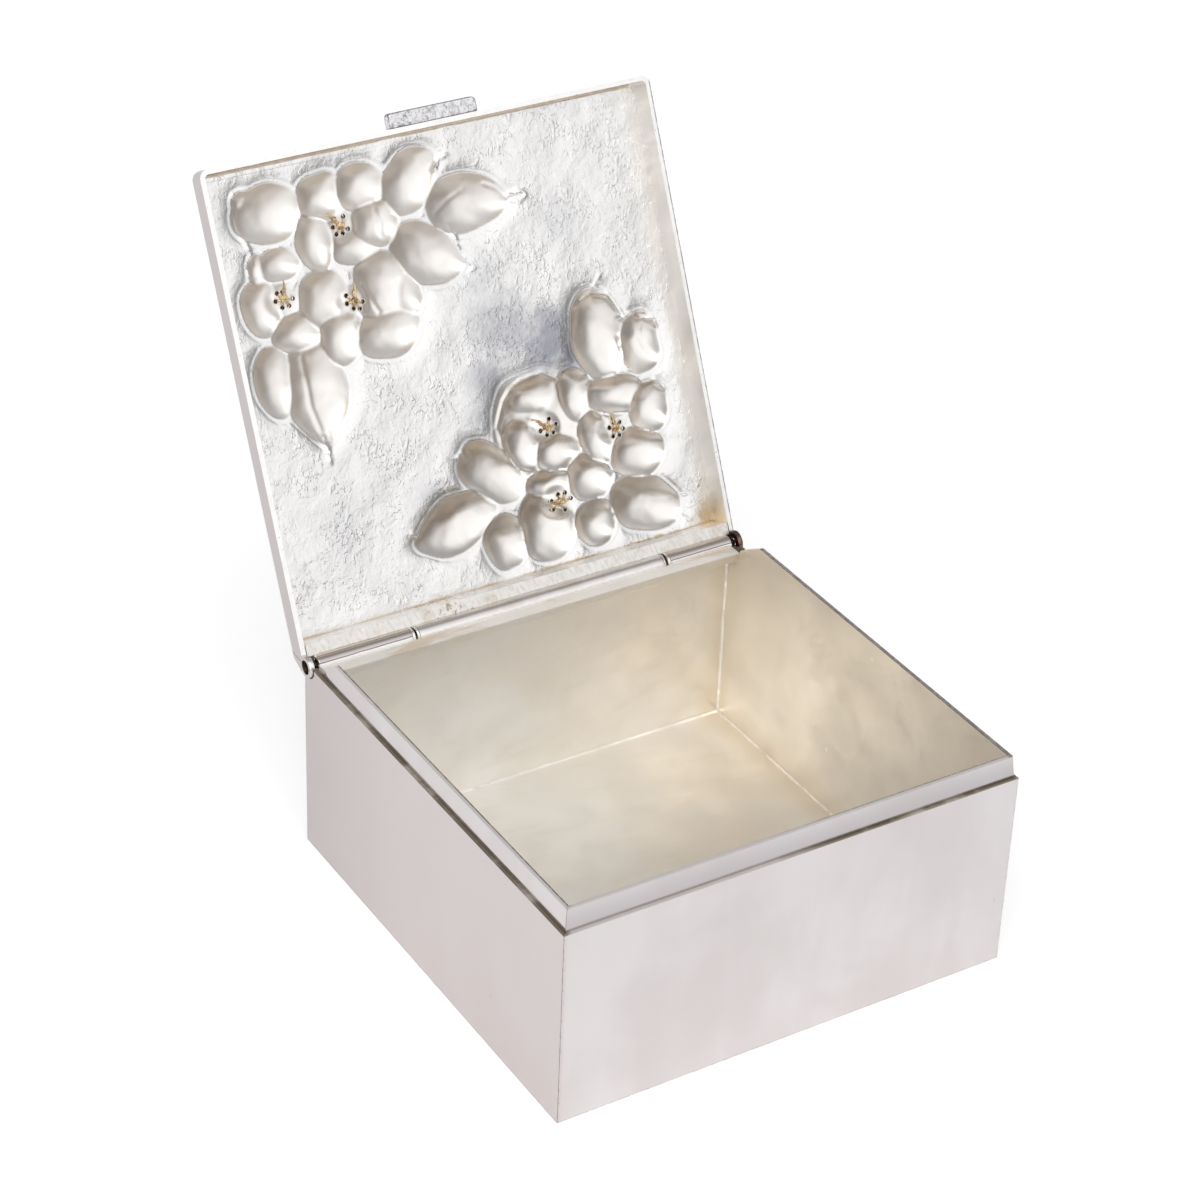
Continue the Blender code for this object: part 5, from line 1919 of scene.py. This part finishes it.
    def rim_mesh(self) -> bmesh.types.BMesh:
        """A strip bent round the front corners, with a bored lobe at each end.

        Returns:
            The mesh.
        """
        back, wall = self.axis_y + LOBE_RADIUS, self.WALL
        outside = self.front_outline(self.reach_x, self.front, self.CORNER, back)
        inside = self.front_outline(self.reach_x - wall, self.front + wall, self.CORNER - wall, back)
        bm = bmesh_prism(outside + inside[::-1], "Z", self.axis_z - 0.008, self.panel_z + 0.005)
        start = 180 - math.degrees(math.asin((self.edge_z - self.axis_z) / LOBE_RADIUS))
        shoulder = LID_SPACE.shut_box("lid_back_wall")[0].z
        profile = [(self.front - 0.005, self.edge_z),
                   *arc((self.axis_y, self.axis_z), LOBE_RADIUS, start, 425, 44),
                   (self.back, shoulder + 0.0002), (self.back, self.panel_z),
                   (self.front - 0.005, self.panel_z)]
        sides = bmesh_prism(profile, "X", -CUTTER_REACH, CUTTER_REACH)
        bm = self.cut_back(mesh_boolean(bm, sides, "INTERSECT"))
        end = self.reach_x + 0.0001
        cuts = ((Hinge.BORE, 0.2, 0), (self.SINK, 0.002, -end), (self.SINK, 0.002, end))
        for radius, length, place in cuts:
            bore = bmesh.new()
            add_rod(bore, radius, length, Matrix.Translation((place, 0, 0)) @ LID_SPACE.axle(), 40)
            bm = mesh_boolean(bm, bore, "DIFFERENCE")
        return bm

    def fillet_mesh(self) -> bmesh.types.BMesh:
        """The hollow fillet of solder in the corner between the sheet and the front of the rim.

        Returns:
            The mesh.
        """
        reach = 0.0010
        foot_y, foot_z = self.front + self.WALL - 0.0001, self.panel_z + 0.0001
        outline = [(foot_y, foot_z), (foot_y, self.panel_z - reach),
                   *arc((foot_y + 0.0001 + reach, self.panel_z - reach), reach, 180, 90, 10),
                   (foot_y + 0.0001 + reach, foot_z)]
        half = self.reach_x - self.CORNER
        bm = bmesh_prism(outline, "X", -half, half)
        slice_along(bm, 0, -half, half)
        bmesh.ops.recalc_face_normals(bm, faces=bm.faces)
        return bm

    def build(self) -> None:
        """Make the pieces of the lid."""
        bm = joined(self.panel_mesh(), self.burrs())
        self.add_marks(bm)
        self.shop.place(bm, "embossed_sheet", Body.LID, (Slot.EMBOSSED, Slot.PIN), ("lid_panel",), 50, False)
        self.rim()
        self.back_sheet()
        self.bar()
        self.tab()

    def rim_slot(self, face: bmesh.types.BMFace) -> Slot:
        """Choose the finish of one face of the rim.

        Args:
            face: The face.

        Returns:
            Its finish.
        """
        middle, normal = face.calc_center_median(), face.normal
        on_side = abs(normal.x) > 0.5
        inward = -math.copysign(1, middle.x) * normal.x if on_side else normal.y
        from_axis = math.hypot(middle.y - self.axis_y, middle.z - self.axis_z)
        corners = [math.hypot(vert.co.y - self.axis_y, vert.co.z - self.axis_z) for vert in face.verts]
        # Painted shade: the bore and counterbores of the rim's lobes take the near-black pin finish.
        if max(corners) < self.SINK * 1.02:
            return Slot.PIN
        # Painted shade: the inner side of the rim's right lobe takes the dark ear finish.
        if middle.x > 0 and from_axis < 0.0045 and middle.y > self.axis_y - 0.0035 and normal.x < 0.5:
            return Slot.EAR
        if normal.z < -0.6:
            return Slot.EDGE
        return Slot.SATIN if inward > 0.5 and (on_side or middle.y < 0) else Slot.POLISHED

    def rim(self) -> None:
        """Make the rim and the fillet along its front."""
        slots = (Slot.POLISHED, Slot.EDGE, Slot.SATIN, Slot.EAR, Slot.FILLET, Slot.PIN)
        bm = self.rim_mesh()
        bmesh.ops.dissolve_limit(bm, angle_limit=math.radians(0.5), verts=bm.verts, edges=bm.edges)
        bevel_sharp(bm, 0.00014, 2, 40)
        slice_along(bm, 1, self.front, self.back)
        slice_along(bm, 0, -self.reach_x, self.reach_x)
        slice_along(bm, 2, self.panel_z - 0.0018, self.panel_z, 0.0003)
        self.flare(bm)
        bm.normal_update()
        for face in bm.faces:
            face.material_index = slots.index(self.rim_slot(face))
        fillet = self.fillet_mesh()
        self.flare(fillet)
        for face in fillet.faces:
            face.material_index = slots.index(Slot.FILLET)
        self.shop.place(joined(bm, fillet), "rim_strip", Body.LID, slots, ("lid_rim",))

    def back_sheet(self) -> None:
        """Make the sloping strip that closes the lid's back."""
        reach = self.reach_x - self.WALL - self.FLARE
        foot, head = Vector(self.SLOPE_FOOT), Vector(self.SLOPE_HEAD)
        rise = (head - foot).normalized()
        inner = Vector((-rise.y, rise.x)) * 0.0010
        foot_in = foot + rise * 0.0003
        head_out = foot.lerp(head, (self.panel_z - 0.0001 - foot.y) / (head.y - foot.y))
        outline = [tuple(foot_in), tuple(head_out), (head_out.x - 0.0012, head_out.y), tuple(foot_in + inner)]
        bm = bmesh_prism(outline, "X", -reach, reach)
        bevel_sharp(bm, FINE_EDGE)
        slice_along(bm, 0, -reach, reach)
        bm.normal_update()
        for face in bm.faces:
            face.material_index = 1 if face.normal.y < 0 else 0
        self.shop.place(bm, "back_sheet", Body.LID, (Slot.POLISHED, Slot.FILED), ("lid_back_wall",))

    def bar(self) -> None:
        """Make the filed bar that carries the middle tube."""
        back_y = LID_SPACE.shut_box("lid_back_wall")[0].y
        low, high = LID_SPACE.shut_box("lid_bearer")
        start = 180 - math.degrees(math.asin((low.z - self.axis_z) / GROOVE_RADIUS))
        end = math.degrees(math.acos((back_y - self.axis_y) / GROOVE_RADIUS))
        outline = [(low.y, self.panel_z), (low.y, low.z),
                   *arc((self.axis_y, self.axis_z), GROOVE_RADIUS, start, end, 36), (back_y, self.panel_z)]
        bm = self.cut_back(bmesh_prism(outline, "X", low.x - 0.0014, high.x + 0.0004), 0.0011)
        ends = [edge for edge in bm.edges if abs(edge.verts[0].co.x - edge.verts[1].co.x) < NEAR
                and max(vert.co.y for vert in edge.verts) < low.y + 10 * NEAR and edge.calc_length() > 0.001]
        round_edges(bm, ends, 0.0009, 5)
        bevel_sharp(bm, 0.0002, 2, 25)
        slice_along(bm, 0, low.x, high.x, 0.002)
        for vert in bm.verts:
            if vert.co.y < low.y + 0.0008:
                vert.co.y += 0.00008 * noise.noise(vert.co / 0.004)
        for face in bm.faces:
            face.material_index = 1
        self.shop.place(bm, "bar", Body.LID, (Slot.SATIN, Slot.FILED), ("lid_bearer",))

    def tab(self) -> None:
        """Make the tab on the front of the rim."""
        low, high = LID_SPACE.shut_box("thumb_tab")
        bm = bmesh_box(low, Vector((high.x, self.front, high.z)))
        corners = [edge for edge in bm.edges if edge.verts[0].co.y < low.y + NEAR
                   and abs(edge.verts[0].co.z - edge.verts[1].co.z) > 0.001]
        round_edges(bm, corners, 0.0011, 6)
        bevel_sharp(bm, 0.0003, 3, 50)
        for axis, end in enumerate((high.x, self.front, high.z)):
            slice_along(bm, axis, low[axis], end, 0.0008)
        for vert in bm.verts:
            inside = min(vert.co.y - low.y, 0.0006) / 0.0006
            side = 1 if vert.co.z > low.z + 0.001 else -1
            vert.co.z += 0.00008 * inside * noise.noise(vert.co / 0.003) * side
        self.shop.place(bm, "tab", Body.LID, (Slot.TAB,), ("thumb_tab",))


class Stamens:
    """Fine wires through each blossom's holes, beaded outside and gathered inside."""

    RADIUS = 0.00017
    RISE = 0.0034

    def __init__(self, shop: Workshop, floor_z: float) -> None:
        """Keep the workshop and the height of the sheet.

        Args:
            shop: Makes the pieces.
            floor_z: Height of the sheet's inner face in the shut lid.
        """
        self.shop = shop
        self.inner_z = floor_z + Relief.EYE_RISE * MM
        self.outer_z = self.inner_z + Lid.SHEET * MM

    def wire(self, eye: Eye, hole: Point, rank: int) -> bmesh.types.BMesh:
        """One wire, from its bead outside to its tail inside; every other tail goes on to the bundle.

        Args:
            eye: The blossom's middle.
            hole: Place of its hole, in millimetres.
            rank: Number of the wire in its blossom, from nought.

        Returns:
            The mesh.
        """
        outward = Vector((hole[0] - eye.x, hole[1] - eye.y, 0)).normalized()
        stem = Vector((hole[0] * MM, hole[1] * MM, 0)) - outward * (Lid.HOLE - self.RADIUS - 0.00002)
        up = Vector((0, 0, 1))
        foot, cuff = stem + up * self.outer_z, stem + outward * 0.0002 + up * self.outer_z
        top = stem + outward * 0.0009 + up * (self.outer_z + self.RISE)
        centre = Vector((eye.x * MM, eye.y * MM, 0))
        side = Vector((-outward.y, outward.x, 0))
        level = up * (self.inner_z - 0.00032 - 0.00006 * rank)
        points = [(top, 1.0), (top - up * 0.0002, 2.0), (top - up * 0.0008, 2.0), (top - up * 0.0011, 1.0),
                  (foot + up * 0.0007, 1.0), (cuff + up * 0.0004, 3.4), (cuff + up * 0.0001, 3.4),
                  (foot, 1.0), (stem + up * self.inner_z, 1.0), (stem - outward * 0.0002 + level, 1.0)]
        if rank % 2 == 0:
            bundle = Vector((eye.bundle[0] * MM, eye.bundle[1] * MM, 0))
            across = (bundle - centre).normalized().cross(up) * 0.00022 * (rank / 2 - 1)
            tail = [(centre - across * 2.0, 1.0), (centre.lerp(bundle, 0.5) + across * 1.4, 1.0),
                    (centre.lerp(bundle, 1.0 - 0.12 * rank) - across, 1.0)]
        else:
            tail = [(centre + side * 0.0005, 1.0), (centre - outward * 0.0007, 1.0),
                    (centre - outward * 0.0004 - side * 0.0006, 1.0), (centre - side * 0.0005, 0.9)]
        return self.swept(points + [(place + level, scale) for place, scale in tail])

    def swept(self, points: Sequence[tuple[Vector, float]]) -> bmesh.types.BMesh:
        """Sweep the wire's section along a smooth line.

        Args:
            points: Places on the line, each with its factor on the wire's radius.

        Returns:
            The mesh.
        """
        curve = bpy.data.curves.new("work", "CURVE")
        curve.dimensions = "3D"
        curve.bevel_depth = self.RADIUS
        curve.bevel_resolution = 3
        curve.use_fill_caps = True
        spline = curve.splines.new("BEZIER")
        spline.bezier_points.add(len(points) - 1)
        for knot, (place, scale) in zip(spline.bezier_points, points):
            knot.co = place
            knot.radius = scale
            knot.handle_left_type = knot.handle_right_type = "VECTOR" if scale > 3 else "AUTO"
        obj = linked("work", curve)
        evaluated = obj.evaluated_get(bpy.context.evaluated_depsgraph_get())
        bm = bmesh.new()
        bm.from_mesh(bpy.data.meshes.new_from_object(evaluated))
        bpy.data.objects.remove(obj)
        bpy.data.curves.remove(curve)
        return bm

    def build(self) -> None:
        """Make one piece for each blossom."""
        for number, eye in enumerate(EYES, start=1):
            whole = joined(*(self.wire(eye, hole, rank) for rank, hole in enumerate(eye.holes)))
            nodes = [f"stamen_{number}_{wire}" for wire in range(1, 7)]
            self.shop.place(whole, f"stamens_{number}", Body.LID, (Slot.WIRE,), nodes, 40, False)


@dataclass
class Studio:
    """Camera of the photograph, a pale floor and soft light."""

    lens: float = 100.91
    azimuth: float = -32.619
    elevation: float = 32.324
    roll: float = -2.359
    offset: tuple[float, float, float] = (0.0908, 0.592, 6.6962)
    unit: float = 0.115
    bright_side: Vector = field(default_factory=lambda: Vector((0.0, -0.82, 0.57)))
    dim_level: float = 0.36
    bright_level: float = 1.12
    floor_half: float = 6.0
    floor_glow: float = 0.45
    floor_sheen: float = 0.27
    paper: Colour = (0.93, 0.93, 0.93)
    dark_paper: Colour = (0.20, 0.19, 0.18)
    far_room: Colour = (0.97, 0.97, 1.0)
    near_room: Colour = (1.0, 0.995, 0.99)

    def camera(self) -> None:
        """Set up the camera as it was fitted to the photograph."""
        az, el, roll = (math.radians(value) for value in (self.azimuth, self.elevation, self.roll))
        back = Vector((math.sin(az) * math.cos(el), -math.cos(az) * math.cos(el), math.sin(el)))
        ahead = -back
        right = ahead.cross(Vector((0, 0, 1))).normalized()
        down = ahead.cross(right)
        cos_roll, sin_roll = math.cos(roll), math.sin(roll)
        row_right = right * cos_roll + down * sin_roll
        row_down = down * cos_roll - right * sin_roll
        x, y, z = (value * self.unit for value in self.offset)
        place = -(row_right * x + row_down * y + ahead * z)
        data = bpy.data.cameras.new("photo_camera")
        data.lens = self.lens
        data.sensor_width = 36.0
        data.clip_start = 0.05
        data.clip_end = 20.0
        obj = linked("photo_camera", data)
        axes = Matrix((row_right, -row_down, back)).transposed().to_4x4()
        obj.matrix_world = Matrix.Translation(place) @ axes
        bpy.context.scene.camera = obj

    def lamp(self, name: str, place: Vector, aim: Vector, size: tuple[float, float], power: float,
             colour: Colour = (1, 1, 1)) -> None:
        """Hang a soft rectangular lamp that looks at a point.

        Args:
            name: Its name.
            place: Where it hangs.
            aim: The point that it looks at.
            size: Its width and height.
            power: Its power in watts.
            colour: Its colour.
        """
        data = bpy.data.lights.new(name, "AREA")
        data.shape = "RECTANGLE"
        data.size, data.size_y = size
        data.energy = power
        data.color = colour
        obj = linked(name, data)
        obj.location = place
        obj.rotation_euler = (aim - place).to_track_quat("-Z", "Y").to_euler()

    def floor(self) -> None:
        """Lay a wide pale floor."""
        bm = bmesh.new()
        bmesh.ops.create_grid(bm, x_segments=1, y_segments=1, size=self.floor_half)
        mesh = mesh_of(bm, "floor")
        sheet = Sheet("floor_paper")
        place = sheet.axis()
        glossy = sheet.rays("Is Glossy Ray")
        far = place.x.span(0.16, 0.4, 0.0, 0.75) * glossy
        sheet.set("Base Color", sheet.mix(far, self.paper, self.dark_paper))
        sheet.set("Roughness", 0.9)
        sheet.set("Specular IOR Level", 0.0)
        glow = sheet.rays("Is Camera Ray") * self.floor_glow
        sheen = glossy * sheet.math("SUBTRACT", self.floor_sheen, far, clamp=True)
        sheet.set("Emission Color", (1.0, 1.0, 1.0))
        sheet.set("Emission Strength", sheet.most(glow, sheen))
        mesh.materials.append(sheet.material)
        linked("floor", mesh)

    def world(self) -> None:
        """Show white to camera rays, and a soft room to every other ray."""
        world = bpy.data.worlds.new("room")
        bpy.context.scene.world = world
        world.use_nodes = True
        world.node_tree.nodes.clear()
        sheet = Sheet.of_tree(world.node_tree)
        dot = sheet.add("ShaderNodeVectorMath", operation="DOT_PRODUCT")
        sheet.put(dot.inputs[0], sheet.add("ShaderNodeTexCoord").outputs["Generated"])
        dot.inputs[1].default_value = self.bright_side.normalized()
        toward = Value(sheet, dot.outputs["Value"])
        room, white = sheet.add("ShaderNodeBackground"), sheet.add("ShaderNodeBackground")
        sheet.put(room.inputs[0], sheet.mix(toward.span(0.2, 0.7), self.far_room, self.near_room))
        sheet.put(room.inputs[1], toward.span(0.52, 0.96, self.dim_level, self.bright_level))
        sheet.put(white.inputs[0], (1.0, 1.0, 1.0))
        mix = sheet.add("ShaderNodeMixShader")
        output = sheet.add("ShaderNodeOutputWorld")
        sheet.put(mix.inputs[0], sheet.rays("Is Camera Ray"))
        sheet.put(mix.inputs[1], room.outputs[0])
        sheet.put(mix.inputs[2], white.outputs[0])
        sheet.put(output.inputs[0], mix.outputs[0])

    def build(self) -> None:
        """Set up the studio."""
        self.camera()
        self.floor()
        self.world()
        aim = Vector((0, 0, 0.06))
        self.lamp("key", Vector((-0.75, -0.55, 1.2)), aim, (1.0, 1.0), 6.0, (1.0, 0.99, 0.97))
        bpy.context.scene.view_settings.view_transform = "Standard"


def build_finishes() -> dict[Slot, bpy.types.Material]:
    """Write one material for each slot of the record.

    Returns:
        The materials by slot.
    """
    splits = (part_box("body_knuckle_left")[1].x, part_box("body_knuckle_right")[0].x)
    bearer_low, bearer_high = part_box("body_bearer")
    finishes = {
        Slot.POLISHED: PolishedPlate(),
        Slot.SATIN: SatinPlate(bearer_y=bearer_low.y - 0.0002, bearer_z=bearer_high.z),
        Slot.EMBOSSED: EmbossedPlate(),
        Slot.TUBE: TubePlate(splits=splits, axis_y=LID_SPACE.pivot.y, axis_z=LID_SPACE.pivot.z),
        Slot.TAB: TabPlate(),
        Slot.WIRE: Wire((0.92, 0.74, 0.48), (0.46, 0.30, 0.15), 0.3),
        # Near-black: the pin's finish, and painted shade on the hole walls and the rim's bores.
        Slot.PIN: Wire((0.14, 0.10, 0.08), (0.025, 0.018, 0.014), 0.45),
        Slot.EDGE: WornEdgeAndReflection(),
        Slot.FILLET: Wire((0.78, 0.69, 0.58), (0.66, 0.56, 0.45), 0.35),
        Slot.FILED: FiledPlate(),
        # Painted shade: dark brown for the inner side of the rim's right lobe.
        Slot.EAR: Wire((0.30, 0.18, 0.13), (0.07, 0.045, 0.04), 0.3),
    }
    return {slot: finish.build(slot.value) for slot, finish in finishes.items()}


def main() -> None:
    """Build the visual model."""
    logging.basicConfig(level=logging.INFO, format="%(message)s")
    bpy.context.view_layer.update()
    shop = Workshop(build_finishes(), LID_SPACE)
    case = Case(shop)
    case.build()
    Liner(shop, case).build()
    Hinge(shop).build()
    lid = Lid(shop)
    lid.build()
    Stamens(shop, lid.panel_z).build()
    Studio().build()


if __name__ == "__main__":
    main()
